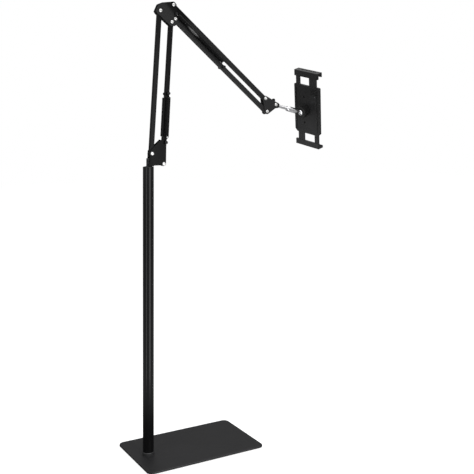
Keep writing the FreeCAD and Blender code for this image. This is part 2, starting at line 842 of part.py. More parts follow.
def make_spring(name, side, start, end, lead):
    """Extension spring between a stud and a cross bolt, hooked at both ends."""
    foot = Vector(start[0].number, side * S.spring_offset.number, start[1].number)
    top = Vector(end[0].number, side * S.spring_offset.number, end[1].number)
    length = (top - foot).Length
    stations = spring_stations(length, lead.number, length - S.spring_tail.number,
                               spring_radius.number, int(S.spring_turns.number))
    edges = []
    points = []
    for (spot, way), (next_spot, next_way) in zip(stations, stations[1:]):
        if (next_spot - spot).normalize().dot(way) > 0.999999:
            pieces = [Part.makeLine(spot, next_spot)]
        else:
            pieces = biarc(spot, way, next_spot, next_way)
        for piece in pieces:
            edges.append(piece)
            points += piece.discretize(Number=5)[:-1]
    wire_radius = S.spring_wire.number / 2
    print(f"{name}: least gap {least_gap(points, S.spring_wire.number):.2f} mm")
    start_spot, start_way = stations[0]
    profile = Part.Wire(Part.makeCircle(wire_radius, start_spot, start_way))
    solid = Part.Wire(edges).makePipeShell([profile], True, False)
    spring = doc.addObject("Part::Feature", name)
    spring.Label = name
    spring.Shape = solid
    lean = math.degrees(math.atan2(top.x - foot.x, top.z - foot.z))
    half_turn = Rotation(Vector(0, 0, 1), 180)
    spring.Placement = Placement(foot, Rotation(Vector(0, 1, 0), lean) * half_turn)


# Tilt joint, rod and ball


def rod_point(distance):
    """A point along the rod from the tilt pivot."""
    return (tilt_pivot[0] + distance * cosine(S.rod_drop), tilt_pivot[1] - distance * sine(S.rod_drop))


def place_on_rod(body):
    body.Placement = Placement(Vector(), Rotation(Vector(0, 1, 0), 0))
    bind(body, "Placement.Rotation.Angle", S.rod_drop)
    place_body(body, *tilt_pivot)


rod_spigot = S.rod_diameter / 2 * 0.75
groove_radius = rod_spigot - S.rod_groove
rod_screw_place = S.eye_length - S.rod_socket / 2


def make_tilt_eye():
    """Block between the end plates, with a screw from below whose tip holds the rod."""
    body = new_body("tilt_eye")
    pad(body, "y", -half_tube, half_tube, lambda s: draw_hull(
        s, [(0, 0), (S.eye_length - S.eye_radius, 0)], S.eye_radius))
    cut(body, "y", -half_tube - 1, half_tube + 1, lambda s: draw_circle(s, 0, 0, hole_radius))
    cut(body, "x", S.eye_length - S.rod_socket, S.eye_length + 1,
        lambda s: draw_circle(s, 0, 0, rod_spigot + S.running_gap))
    cut(body, "z", -S.eye_radius - 1, -groove_radius, lambda s: draw_circle(
        s, rod_screw_place, 0, S.rod_screw_diameter / 2 + S.running_gap))
    fillet(body, 1, lambda e: lies_at(e, "y", half_tube.number) and e.Length > 5.6
           or lies_at(e, "y", -half_tube.number) and e.Length > 5.6)
    place_on_rod(body)

    screw = new_body("rod_screw")
    pad(screw, "z", -S.eye_radius * 0.7, -groove_radius - S.side_gap,
        lambda s: draw_circle(s, rod_screw_place, 0, S.rod_screw_diameter / 2))
    place_on_rod(screw)


def make_ball_rod():
    """Rod, thicker sleeve, neck and ball, turned from one bar."""
    body = new_body("ball_rod")
    rod = S.rod_diameter / 2
    groove = S.rod_screw_diameter / 2 + S.side_gap
    sleeve = S.sleeve_diameter / 2
    neck = S.neck_diameter / 2
    step = S.rod_length
    sleeve_end = step + S.sleeve_length
    turn(body, "y", "H_Axis", lambda s: draw_polygon(s, [
        (S.eye_length - S.rod_socket + S.side_gap, 0),
        (S.eye_length - S.rod_socket + S.side_gap, rod_spigot),
        (rod_screw_place - groove, rod_spigot),
        (rod_screw_place - groove, groove_radius),
        (rod_screw_place + groove, groove_radius),
        (rod_screw_place + groove, rod_spigot),
        (S.eye_length + S.side_gap, rod_spigot),
        (S.eye_length + S.side_gap, rod),
        (step, rod),
        (step, sleeve - S.sleeve_chamfer),
        (step + S.sleeve_chamfer, sleeve),
        (sleeve_end - S.sleeve_chamfer, sleeve),
        (sleeve_end, sleeve - S.sleeve_chamfer),
        (sleeve_end, neck),
        (S.ball_place, neck),
        (S.ball_place, 0)]))
    sphere(body, "Additive", S.ball_place, 0, S.ball_diameter / 2)
    place_on_rod(body)


def make_tilt_bolt_and_knob():
    knob_low = plate_outside + S.side_gap
    knob_high = knob_low + S.knob_hub_length
    make_bolts("tilt_bolt", [(0, 0)], tilt_pivot, knob_high - 2)

    knob = new_body("tilt_knob")
    wing_low = knob_high - S.knob_wing_thickness
    wing = (S.knob_wing_reach * cosine(S.knob_wing_turn), S.knob_wing_reach * sine(S.knob_wing_turn))
    pad(knob, "y", knob_low, knob_high, lambda s: draw_circle(s, 0, 0, S.knob_hub_diameter / 2))
    pad(knob, "y", wing_low, knob_high, lambda s: draw_hull(
        s, [(-wing[0], -wing[1]), wing], S.knob_wing_radius))
    fillet(knob, S.knob_wing_thickness / 4, lambda e: lies_at(e, "y", knob_high.number))
    cut(knob, "y", knob_low - 1, knob_high - 1,
        lambda s: draw_circle(s, 0, 0, bolt_radius + S.running_gap))
    place_body(knob, *tilt_pivot)


def repeat_round(body, feature, axis, count):
    """Repeats a feature evenly round one of the body's axes."""
    pattern = body.newObject("PartDesign::PolarPattern", f"{body.Name}_round")
    pattern.Originals = [feature]
    pattern.Axis = (origin_feature(body, axis), [""])
    pattern.Angle = 360
    bind(pattern, "Occurrences", count)
    body.Tip = pattern
    doc.recompute()


# Ball socket and clamp, drawn in the clamp's own frame: X across, Y away from the ball, Z up


def place_on_clamp(body):
    """Clamp frame: its origin is on the back face, opposite the ball."""
    x, z = rod_point(S.ball_place)
    turned = f"create(<<rotation>>; {S.clamp_turn.text}; {S.clamp_lean.text}; {S.clamp_tip.text})"
    ball = f"create(<<vector>>; {x.text}; 0; {z.text})"
    back = f"create(<<vector>>; 0; {S.ball_to_clamp.text}; 0)"
    body.setExpression("Placement", f"create(<<placement>>; {ball}; {turned}) "
                       f"* create(<<placement>>; {back}; create(<<rotation>>; 0; 0; 0))")


ball_radius = S.ball_diameter / 2
seat_radius = ball_radius + S.running_gap
ring_seat_radius = ball_radius + S.slide_gap
socket_floor = -S.ball_to_clamp + seat_radius + S.cup_wall
ring_front = -S.socket_base - S.side_gap
ring_back = -S.ball_to_clamp - ring_seat_radius * cosine(S.ring_opening_angle)


def make_ball_socket():
    body = new_body("ball_socket")
    bore = S.socket_bore / 2
    mouth = -S.ball_to_clamp
    turn(body, "x", "H_Axis", lambda s: draw_polygon(s, [
        (0, 0), (0, S.socket_diameter / 2), (-S.socket_base, S.socket_diameter / 2),
        (-S.socket_base, S.thread_diameter / 2), (mouth, S.thread_diameter / 2), (mouth, bore),
        (socket_floor + S.running_gap, bore), (socket_floor + S.running_gap, 0)]))
    place_on_clamp(body)


def make_ball_cup():
    """Friction cup between the ball and the socket."""
    body = new_body("ball_cup")
    outer = S.socket_bore / 2 - S.running_gap
    turn(body, "x", "H_Axis", lambda s: draw_polygon(s, [
        (socket_floor, 0), (socket_floor, outer), (-S.ball_to_clamp, outer), (-S.ball_to_clamp, 0)]))
    sphere(body, "Subtractive", 0, -S.ball_to_clamp, seat_radius)
    place_on_clamp(body)


def make_ball_ring():
    """Knurled ring that screws on the socket and holds the ball in."""
    body = new_body("ball_ring")
    inside = S.thread_diameter / 2 + S.running_gap
    lip = -S.ball_to_clamp - S.hook_gap
    outside = S.ring_diameter / 2
    opening = ring_seat_radius * sine(S.ring_opening_angle)
    turn(body, "x", "H_Axis", lambda s: draw_polygon(s, [
        (ring_front, inside), (ring_front, outside), (ring_back, outside),
        (ring_back, opening), (lip, opening), (lip, inside)]))
    chamfer(body, 0.8, lambda e: (lies_at(e, "y", ring_front.number)
                                  or lies_at(e, "y", ring_back.number))
            and e.Length > 6 * outside.number)
    sphere(body, "Subtractive", 0, -S.ball_to_clamp, ring_seat_radius)
    groove = cut(body, "y", ring_back - 1, ring_front + 1, lambda s: draw_circle(
        s, outside + S.grip_groove_diameter * 0.2, 0, S.grip_groove_diameter / 2))
    repeat_round(body, groove, "Y_Axis", S.grip_groove_count)
    place_on_clamp(body)


clamp_left = S.clamp_shift - S.clamp_width / 2
clamp_right = S.clamp_shift + S.clamp_width / 2
clamp_top = S.clamp_rise + S.clamp_height / 2
clamp_bottom = S.clamp_rise - S.clamp_height / 2
shell_front = S.rear_shell + S.front_shell
rail_back = S.shell_floor + S.slide_gap / 2
rail_front = S.rear_shell - S.slide_gap / 2

# Each jaw's side, sizes of its section, and the middle and width of its two rails
JAWS = {
    "upper": (1, S.upper_jaw_reach, S.upper_jaw_wall, S.upper_back_height, S.upper_hook_height,
              ((S.upper_wide_place, S.upper_wide_rail),
               (S.upper_narrow_place, S.upper_narrow_rail))),
    "lower": (-1, S.lower_jaw_reach, S.lower_jaw_wall, S.lower_back_height, S.lower_hook_height,
              ((S.lower_wide_place, S.lower_wide_rail),
               (S.lower_narrow_place, S.lower_narrow_rail))),
}


def clamp_outline(s):
    corner = S.clamp_corner
    small = corner / 4
    draw_polygon(s, [
        (clamp_left + corner, clamp_bottom), (clamp_right - corner, clamp_bottom),
        (clamp_right, clamp_bottom + corner), (clamp_right, clamp_top - small),
        (clamp_right - small, clamp_top), (clamp_left + small, clamp_top),
        (clamp_left, clamp_top - small), (clamp_left, clamp_bottom + corner)])


def make_clamp_shells():
    rear = new_body("clamp_rear_shell")
    pad(rear, "y", 0, S.rear_shell, clamp_outline)
    fillet(rear, S.shell_floor * 0.7, lambda e: lies_at(e, "y", 0))
    for sign, *_, rails in JAWS.values():
        for centre, width in rails:
            half = width / 2 + S.slide_gap
            inner = S.slide_gap + 1
            low, high = (inner, clamp_top + 1) if sign > 0 else (clamp_bottom - 1, -inner)
            cut(rear, "y", S.shell_floor, S.rear_shell + 1,
                lambda s: draw_box(s, centre - half, centre + half, low, high))
    cut(rear, "y", -1, S.clamp_screw_recess, lambda s: [
        draw_circle(s, -S.clamp_screw_shift, side * S.clamp_screw_place,
                    S.clamp_screw_diameter / 2 + S.running_gap) for side in (-1, 1)])
    cut(rear, "y", -1, S.rear_shell + 1, lambda s: [
        draw_circle(s, -S.clamp_screw_shift, side * S.clamp_screw_place,
                    S.clamp_screw_diameter / 4 + S.running_gap) for side in (-1, 1)])
    place_on_clamp(rear)

    front = new_body("clamp_front_plate")
    pad(front, "y", S.rear_shell, shell_front, clamp_outline)
    fillet(front, S.front_shell * 0.4, lambda e: lies_at(e, "y", shell_front.number))
    cut(front, "y", S.rear_shell - 1, shell_front - 0.4, lambda s: [
        draw_circle(s, -S.clamp_screw_shift, side * S.clamp_screw_place,
                    S.clamp_screw_diameter / 4 + S.running_gap) for side in (-1, 1)])
    place_on_clamp(front)

    grip = new_body("clamp_grip_pad")
    margin = S.grip_pad_margin
    pad(grip, "y", shell_front, shell_front + S.grip_pad, lambda s: draw_box(
        s, clamp_left + margin, clamp_right - margin,
        clamp_bottom + S.clamp_corner + 1, clamp_top - margin))
    fillet(grip, margin, lambda e: runs_along(e, "y"))
    place_on_clamp(grip)

    screws = new_body("clamp_screws")
    sides = [side * S.clamp_screw_place for side in (-1, 1)]
    head = S.clamp_screw_diameter / 2
    pad(screws, "y", S.clamp_screw_recess / 3, S.clamp_screw_recess,
        lambda s: [draw_circle(s, -S.clamp_screw_shift, z, head) for z in sides])
    pad(screws, "y", S.clamp_screw_recess, shell_front - 0.5,
        lambda s: [draw_circle(s, -S.clamp_screw_shift, z, head / 2) for z in sides])
    place_on_clamp(screws)


def make_jaw(name, sign, face, wall, back_height, hook_height, rails):
    """Hooked bar on two flat rails that slide into the clamp body."""
    left = S.jaw_shift - S.jaw_width / 2
    right = S.jaw_shift + S.jaw_width / 2
    top = face + wall
    back_low = top - back_height
    hook_low = top - hook_height
    hook_start = S.jaw_depth - S.hook_thickness

    def section(s):
        corners = [(0, back_low), (S.jaw_back, back_low), (S.jaw_back, face),
                   (hook_start, face), (hook_start, hook_low), (S.jaw_depth, hook_low),
                   (S.jaw_depth, top), (0, top)]
        draw_polygon(s, [(y, sign * amount(z)) for y, z in corners])

    body = new_body(f"{name}_jaw")
    pad(body, "x", left, right, section)
    fillet(body, S.jaw_edge,
           lambda e: runs_along(e, "x") and abs(e.CenterOfMass.z) > top.number - 0.01)
    fillet(body, S.jaw_edge * 0.6, lambda e: runs_along(e, "x")
           and (lies_at(e, "z", sign * hook_low.number) or lies_at(e, "z", sign * back_low.number)))

    for centre, width in rails:
        ends = (S.rail_inner_end, face + 1)
        low, high = ends if sign > 0 else (-ends[1], -ends[0])
        pad(body, "y", rail_back, rail_front, lambda s: draw_box(
            s, centre - width / 2, centre + width / 2, low, high))
    place_on_clamp(body)

    lining = new_body(f"{name}_jaw_lining")
    inset = 3
    low, high = (face - S.jaw_lining, face) if sign > 0 else (-face, -face + S.jaw_lining)
    pad(lining, "z", low, high, lambda s: draw_box(
        s, left + inset, right - inset, S.jaw_back + S.side_gap, hook_start - S.side_gap))
    place_on_clamp(lining)


# Assembly, from the floor up

make_base_plate()
make_base_feet()
make_base_screw()
make_pole()
make_swivel()
make_lower_bracket()
joint_set("lower", [(0, 0), front_step], rear_pivot)

upright = 90 - S.lower_tilt
downward = -S.upper_drop
make_tube("lower_rear_tube", rear_pivot, upright)
make_tube("lower_front_tube", front_pivot, upright, S.lower_hook_place)
make_elbow()
make_tube("upper_top_tube", upper_pivot, downward)
make_tube("upper_under_tube", under_pivot, downward, S.upper_hook_place)
make_end_bracket()

make_studs("lower_spring_studs", lower_stud, rear_pivot)
make_studs("upper_spring_studs", upper_stud, elbow_pivot)
lower_hook = make_hook_bolt("lower", -upright, front_pivot, S.lower_hook_place)
upper_hook = make_hook_bolt("upper", S.upper_drop, under_pivot, S.upper_hook_place)
for side_name, side in (("near", -1), ("far", 1)):
    make_spring(f"lower_spring_{side_name}", side, lower_stud, lower_hook, S.lower_spring_lead)
    make_spring(f"upper_spring_{side_name}", side, upper_stud, upper_hook, S.upper_spring_lead)

make_tilt_eye()
make_tilt_bolt_and_knob()
make_ball_rod()
make_ball_socket()
make_ball_cup()
make_ball_ring()
make_clamp_shells()
for jaw_name, jaw_sizes in JAWS.items():
    make_jaw(jaw_name, *jaw_sizes)
doc.recompute()

# Check every object, then write each sub-part under its own name

for item in doc.Objects:
    if {"Invalid", "Error"} & set(item.State):
        raise RuntimeError(f"{item.Label}: {item.State}")

nodes = [item for item in doc.Objects
         if item.TypeId == "PartDesign::Body" or item.TypeId == "Part::Feature"]
for item in nodes:
    if item.Shape.isNull() or not item.Shape.isValid():
        raise RuntimeError(f"{item.Label}: its shape isn't valid")

os.makedirs("parts", exist_ok=True)
for item in nodes:
    item.Shape.exportStep(f"parts/{item.Label}.step")
print(len(nodes), "sub-parts written")
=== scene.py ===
import json
import math

import bmesh
import bpy
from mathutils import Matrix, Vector

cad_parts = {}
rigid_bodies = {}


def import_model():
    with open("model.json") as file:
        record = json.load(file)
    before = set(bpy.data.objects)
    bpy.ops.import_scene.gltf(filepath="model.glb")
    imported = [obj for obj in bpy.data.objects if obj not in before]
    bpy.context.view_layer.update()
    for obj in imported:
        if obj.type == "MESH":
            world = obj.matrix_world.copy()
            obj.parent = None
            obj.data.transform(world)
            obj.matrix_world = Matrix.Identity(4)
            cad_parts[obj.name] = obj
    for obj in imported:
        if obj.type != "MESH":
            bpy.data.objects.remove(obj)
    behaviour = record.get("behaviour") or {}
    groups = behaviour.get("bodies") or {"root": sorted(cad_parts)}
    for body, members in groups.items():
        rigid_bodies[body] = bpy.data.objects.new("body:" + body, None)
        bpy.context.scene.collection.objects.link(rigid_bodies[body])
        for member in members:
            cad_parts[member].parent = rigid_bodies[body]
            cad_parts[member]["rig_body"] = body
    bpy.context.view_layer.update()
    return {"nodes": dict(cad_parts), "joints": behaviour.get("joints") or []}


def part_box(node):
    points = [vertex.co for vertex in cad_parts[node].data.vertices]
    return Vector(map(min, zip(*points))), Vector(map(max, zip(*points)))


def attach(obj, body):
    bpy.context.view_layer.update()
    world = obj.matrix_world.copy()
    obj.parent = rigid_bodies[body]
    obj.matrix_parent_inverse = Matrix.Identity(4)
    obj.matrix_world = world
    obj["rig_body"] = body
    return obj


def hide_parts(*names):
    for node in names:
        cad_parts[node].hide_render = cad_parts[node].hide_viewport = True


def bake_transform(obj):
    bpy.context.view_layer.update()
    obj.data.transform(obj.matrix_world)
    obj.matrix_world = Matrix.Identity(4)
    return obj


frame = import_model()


# Camera and studio
# The stand is seen from its front left, level with its middle, through a lens shifted downward.
# Painted shade darkens the pale floor near the pole for all but the camera. A large panel hangs
# overhead, two upright strips stand near the pole, a spot shines on the clamp, and the front is
# brighter.

camera_data = bpy.data.cameras.new("camera")
camera_data.lens = 57.13
camera_data.sensor_width = 36
camera_data.shift_x = -0.00105
camera_data.shift_y = -0.22115
camera_data.clip_end = 50
camera = bpy.data.objects.new("camera", camera_data)
camera.location = (-0.6839, -1.5827, 0.7381)
camera.rotation_euler = (math.radians(90), 0, math.radians(-30.13))
bpy.context.scene.collection.objects.link(camera)
bpy.context.scene.camera = camera
bpy.context.scene.view_settings.view_transform = "Standard"


def add(tree, kind, inputs=None, **settings):
    """Adds a node; an input is a number, a colour or another node's output."""
    node = tree.nodes.new(kind)
    for key, value in settings.items():
        setattr(node, key, value)
    for key, value in (inputs or {}).items():
        if isinstance(value, bpy.types.NodeSocket):
            tree.links.new(value, node.inputs[key])
        else:
            node.inputs[key].default_value = value
    return node


def hung_light(name, kind, place, aim, power):
    """A light that shines from its place toward a point; its own data are handed back."""
    data = bpy.data.lights.new(name, kind)
    data.energy = power
    light = bpy.data.objects.new(name, data)
    light.location = place
    direction = Vector(aim) - Vector(place)
    light.rotation_euler = direction.to_track_quat("-Z", "Y").to_euler()
    light.visible_camera = False
    bpy.context.scene.collection.objects.link(light)
    return data


pole_middle = (0, 0, 0.51)
for name, size, place, aim, power in (
        ("overhead_panel", (2.0, 2.0), (0.1, -0.4, 2.6), (0.15, 0, 0.4), 16),
        ("left_strip", (0.15, 1.0), (-0.443, -0.232, 0.51), pole_middle, 0.7),
        ("front_strip", (0.3, 1.0), (0.09, -0.492, 0.51), pole_middle, 1.9)):
    panel = hung_light(name, "AREA", place, aim, power)
    panel.shape = "RECTANGLE"
    panel.size, panel.size_y = size
spot = hung_light("clamp_spot", "SPOT", (-0.1, -0.25, 0.45), (0.455, 0.02, 0.725), 12)
spot.spot_size = math.radians(16)
spot.spot_blend = 1
spot.shadow_soft_size = 0.04

world = bpy.data.worlds.new("studio")
world.use_nodes = True
bpy.context.scene.world = world
world_tree = world.node_tree
world_tree.nodes.clear()
rays = add(world_tree, "ShaderNodeLightPath")
way = add(world_tree, "ShaderNodeTexCoord")
front_side = (-0.502, -0.865, 0)
toward_front = add(world_tree, "ShaderNodeVectorMath", {
    0: way.outputs["Generated"], 1: front_side}, operation="DOT_PRODUCT")
front = add(world_tree, "ShaderNodeMapRange", {
    "Value": toward_front.outputs["Value"], "From Min": -0.6, "From Max": 0.5,
    "To Min": 0.2, "To Max": 0.62}, interpolation_type="SMOOTHSTEP")
fill = add(world_tree, "ShaderNodeBackground", {"Color": (1, 1, 1, 1), "Strength": 0.24})
heights = add(world_tree, "ShaderNodeSeparateXYZ", {0: way.outputs["Generated"]})
above = add(world_tree, "ShaderNodeMapRange", {
    "Value": heights.outputs["Z"], "From Min": 0.42, "From Max": 0.66,
    "To Min": 0.0, "To Max": 1.1}, interpolation_type="SMOOTHSTEP")
strongest = add(world_tree, "ShaderNodeMath", {
    0: front.outputs["Result"], 1: above.outputs["Result"]}, operation="MAXIMUM")
mirrored = add(world_tree, "ShaderNodeBackground", {
    "Color": (1, 1, 1, 1), "Strength": strongest.outputs[0]})
white = add(world_tree, "ShaderNodeBackground", {"Color": (1, 1, 1, 1), "Strength": 1.0})
seen = add(world_tree, "ShaderNodeMixShader", {
    0: rays.outputs["Is Glossy Ray"], 1: fill.outputs[0], 2: mirrored.outputs[0]})
shown = add(world_tree, "ShaderNodeMixShader", {
    0: rays.outputs["Is Camera Ray"], 1: seen.outputs[0], 2: white.outputs[0]})
add(world_tree, "ShaderNodeOutputWorld", {0: shown.outputs[0]})

floor_mesh = bpy.data.meshes.new("floor")
floor_reach = 9
floor_mesh.from_pydata([(-floor_reach, -floor_reach, 0), (floor_reach, -floor_reach, 0),
                        (floor_reach, floor_reach, 0), (-floor_reach, floor_reach, 0)],
                       [], [(0, 1, 2, 3)])
floor = bpy.data.objects.new("floor", floor_mesh)
bpy.context.scene.collection.objects.link(floor)
floor_paint = bpy.data.materials.new("pale_floor")
floor_paint.use_nodes = True
floor_tree = floor_paint.node_tree
floor_tree.nodes.clear()
floor_rays = add(floor_tree, "ShaderNodeLightPath")
floor_place = add(floor_tree, "ShaderNodeTexCoord")
# Painted shade: near the pole the floor's colour darkens, for all rays but the camera's.
from_pole = add(floor_tree, "ShaderNodeVectorMath", {0: floor_place.outputs["Object"]},
                operation="LENGTH")
in_shade = add(floor_tree, "ShaderNodeMapRange", {
    "Value": from_pole.outputs["Value"], "From Min": 0.15, "From Max": 0.55,
    "To Min": 0.08, "To Max": 0.85}, interpolation_type="SMOOTHSTEP")
shaded = add(floor_tree, "ShaderNodeBsdfDiffuse", {"Color": in_shade.outputs[0]})
lit = add(floor_tree, "ShaderNodeBsdfDiffuse", {"Color": (0.85, 0.85, 0.85, 1)})
bright = add(floor_tree, "ShaderNodeEmission", {"Color": (1, 1, 1, 1), "Strength": 0.8})
both = add(floor_tree, "ShaderNodeAddShader", {0: lit.outputs[0], 1: bright.outputs[0]})
floor_mix = add(floor_tree, "ShaderNodeMixShader", {
    0: floor_rays.outputs["Is Camera Ray"], 1: shaded.outputs[0], 2: both.outputs[0]})
add(floor_tree, "ShaderNodeOutputMaterial", {0: floor_mix.outputs[0]})
floor_mesh.materials.append(floor_paint)


# Base plate
# A heavy steel plate with rounded corners and a softly broken edge, laser cut and powder coated
# in satin charcoal. Its fine pebbled skin scatters the light; its front edge has a painted
# highlight.

mm = 0.001
nodes = frame["nodes"]


def coated(name, colour, roughness, grain, depth, specular=0.3, metallic=0.0, uneven=0.05):
    """A finish with a fine grain in its surface; grain is the grains' size in metres."""
    material = bpy.data.materials.new(name)
    material.use_nodes = True
    tree = material.node_tree
    shader = tree.nodes["Principled BSDF"]
    shader.inputs["Metallic"].default_value = metallic
    shader.inputs["Specular IOR Level"].default_value = specular
    place = add(tree, "ShaderNodeTexCoord")
    grains = add(tree, "ShaderNodeTexNoise", {
        "Vector": place.outputs["Object"], "Scale": 1 / grain, "Detail": 3.0})
    clouds = add(tree, "ShaderNodeTexNoise", {
        "Vector": place.outputs["Object"], "Scale": 18.0, "Detail": 2.0})
    tone = add(tree, "ShaderNodeMapRange", {
        "Value": clouds.outputs["Fac"], "From Min": 0.3, "From Max": 0.7,
        "To Min": 1 - uneven, "To Max": 1 + uneven})
    colours = add(tree, "ShaderNodeVectorMath", {
        0: (colour[0], colour[1], colour[2]), "Scale": tone.outputs[0]}, operation="SCALE")
    rough = add(tree, "ShaderNodeMapRange", {
        "Value": grains.outputs["Fac"], "From Min": 0.3, "From Max": 0.7,
        "To Min": roughness * 0.9, "To Max": min(1.0, roughness * 1.1)})
    bump = add(tree, "ShaderNodeBump", {
        "Height": grains.outputs["Fac"], "Strength": 0.25, "Distance": depth})
    tree.links.new(colours.outputs[0], shader.inputs["Base Color"])
    tree.links.new(rough.outputs[0], shader.inputs["Roughness"])
    tree.links.new(bump.outputs[0], shader.inputs["Normal"])
    return material


def own_piece(name, mesh, body, replaced=()):
    """Puts a finished mesh in the scene in place of CAD nodes, riding on a body if it has one."""
    piece = bpy.data.objects.new(name, mesh)
    bpy.context.scene.collection.objects.link(piece)
    if body:
        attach(piece, body)
    if replaced:
        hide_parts(*replaced)
    return piece


def dressed(node, material, bevel=None, corner=32):
    """The CAD node's own shape, smoothly shaded, with its edges broken by the bevel."""
    mesh = nodes[node].data.copy()
    mesh.name = f"{node}_dressed"
    work = bmesh.new()
    work.from_mesh(mesh)
    bmesh.ops.remove_doubles(work, verts=work.verts, dist=2e-6)
    bmesh.ops.dissolve_limit(work, angle_limit=math.radians(0.4), verts=work.verts,
                             edges=work.edges)
    bmesh.ops.recalc_face_normals(work, faces=work.faces)
    work.to_mesh(mesh)
    work.free()
    mesh.materials.clear()
    mesh.materials.append(material)
    mesh.shade_smooth()
    mesh.set_sharp_from_angle(angle=math.radians(corner))
    piece = own_piece(f"{node}_dressed", mesh, nodes[node]["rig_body"], [node])
    if bevel:
        soft = piece.modifiers.new("broken edge", "BEVEL")
        soft.width = bevel
        soft.segments = 2
        soft.limit_method = "ANGLE"
        soft.angle_limit = math.radians(corner)
        soft.harden_normals = True
    return piece


charcoal_coat = coated("charcoal_powder_coat", (0.019, 0.019, 0.02), roughness=0.5,
                       grain=0.6 * mm, depth=0.04 * mm, specular=0.2)
plate_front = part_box("base_plate")[0].y
plate_tree = charcoal_coat.node_tree
plate_shader = plate_tree.nodes["Principled BSDF"]
plate_place = add(plate_tree, "ShaderNodeTexCoord")
plate_axes = add(plate_tree, "ShaderNodeSeparateXYZ", {0: plate_place.outputs["Object"]})
# Painted highlight: the plate's colour is brightened along its front edge.
painted_edge_highlight = add(plate_tree, "ShaderNodeMapRange", {
    "Value": plate_axes.outputs["Y"],
    "From Min": plate_front + 0.2 * mm, "From Max": plate_front + 1.7 * mm,
    "To Min": 3.4, "To Max": 1.0})
edge_colour = add(plate_tree, "ShaderNodeVectorMath", {
    0: plate_shader.inputs["Base Color"].links[0].from_socket, "Scale": painted_edge_highlight.outputs[0]},
    operation="SCALE")
plate_tree.links.new(edge_colour.outputs[0], plate_shader.inputs["Base Color"])
dressed("base_plate", charcoal_coat)


# Feet and pole screw
# Black rubber pads under the corners and the pole. A zinc-plated countersunk screw comes up
# through the plate and draws the pole down on it.


def finish(node, material):
    """Gives a CAD node its finish."""
    mesh = nodes[node].data
    mesh.materials.clear()
    mesh.materials.append(material)


black_rubber = coated("black_rubber", (0.018, 0.018, 0.018), roughness=0.8, grain=0.3 * mm,
                      depth=0.03 * mm)
zinc_plate = coated("zinc_plate", (0.83, 0.83, 0.82), roughness=0.28, grain=0.25 * mm,
                    depth=0.003 * mm, specular=0.5, metallic=1.0)
finish("base_feet", black_rubber)
finish("base_screw", zinc_plate)


# Pole
# A drawn steel tube in gloss black paint, with a threaded slug pressed in its foot. A thin
# charcoal trim ring hides the joint on the plate.

gloss_black = coated("gloss_black_paint", (0.006, 0.006, 0.0065), roughness=0.16, grain=3 * mm,
                     depth=0.006 * mm)
charcoal_ring = coated("charcoal_ring", (0.045, 0.045, 0.047), roughness=0.22, grain=0.4 * mm,
                       depth=0.01 * mm)
dressed("pole_tube", gloss_black)
finish("pole_slug", zinc_plate)
dressed("pole_trim_ring", charcoal_ring)


# Swivel
# A flanged nylon bush is pressed in the pole's top. The blackened spindle of the arm turns in
# it, held by a clip in its groove, and its threaded end is screwed up through the bracket.

black_nylon = coated("black_nylon", (0.012, 0.012, 0.012), roughness=0.45, grain=0.4 * mm,
                     depth=0.008 * mm)
dark_steel = coated("blackened_steel", (0.012, 0.012, 0.013), roughness=0.36, grain=0.2 * mm,
                    depth=0.004 * mm)
dressed("pole_top_bush", black_nylon)
dressed("swivel_washer", black_nylon)
finish("spindle_clip", zinc_plate)


def group_input(tree, name, kind, default=None):
    """A named input of a geometry tree."""
    socket = tree.interface.new_socket(name=name, in_out="INPUT", socket_type=f"NodeSocket{kind}")
    if default is not None:
        socket.default_value = default


def started_tree(name, inputs):
    """A geometry tree with its named inputs, and the node that hands them out."""
    tree = bpy.data.node_groups.new(name, "GeometryNodeTree")
    group_input(tree, "Geometry", "Geometry")
    for input_name, (kind, default) in inputs.items():
        group_input(tree, input_name, kind, default)
    group_input(tree, "Finish", "Material")
    return tree, tree.nodes.new("NodeGroupInput")


def finished_tree(tree, start, geometry, corner=30):
    """Realizes, shades and paints the geometry, and ends the tree."""
    real = add(tree, "GeometryNodeRealizeInstances", {0: geometry})
    smooth = add(tree, "GeometryNodeSetShadeSmooth", {"Geometry": real.outputs[0]})
    turn = add(tree, "GeometryNodeInputMeshEdgeAngle")
    sharp = add(tree, "FunctionNodeCompare", {
        "A": turn.outputs["Unsigned Angle"], "B": math.radians(corner)},
        operation="GREATER_THAN")
    crisp = add(tree, "GeometryNodeSetShadeSmooth", {
        "Geometry": smooth.outputs[0], "Selection": sharp.outputs[0], "Shade Smooth": False},
        domain="EDGE")
    painted = add(tree, "GeometryNodeSetMaterial", {
        "Geometry": crisp.outputs[0], "Material": start.outputs["Finish"]})
    tree.interface.new_socket(name="Geometry", in_out="OUTPUT", socket_type="NodeSocketGeometry")
    add(tree, "NodeGroupOutput", {0: painted.outputs[0]})


def grown(name, points, tree, values, body, replaced=()):
    """Runs a geometry tree on points and keeps its result as a plain piece."""
    seed_mesh = bpy.data.meshes.new(f"{name}_seed")
    seed_mesh.from_pydata(points, [], [])
    seed = bpy.data.objects.new(f"{name}_seed", seed_mesh)
    bpy.context.scene.collection.objects.link(seed)
    modifier = seed.modifiers.new("grown", "NODES")
    modifier.node_group = tree
    for item in tree.interface.items_tree:
        if item.in_out == "INPUT" and item.name in values:
            modifier[item.identifier] = values[item.name]
    evaluated = seed.evaluated_get(bpy.context.evaluated_depsgraph_get())
    mesh = bpy.data.meshes.new_from_object(evaluated)
    mesh.name = name
    bpy.data.objects.remove(seed)
    return own_piece(name, mesh, body, replaced)


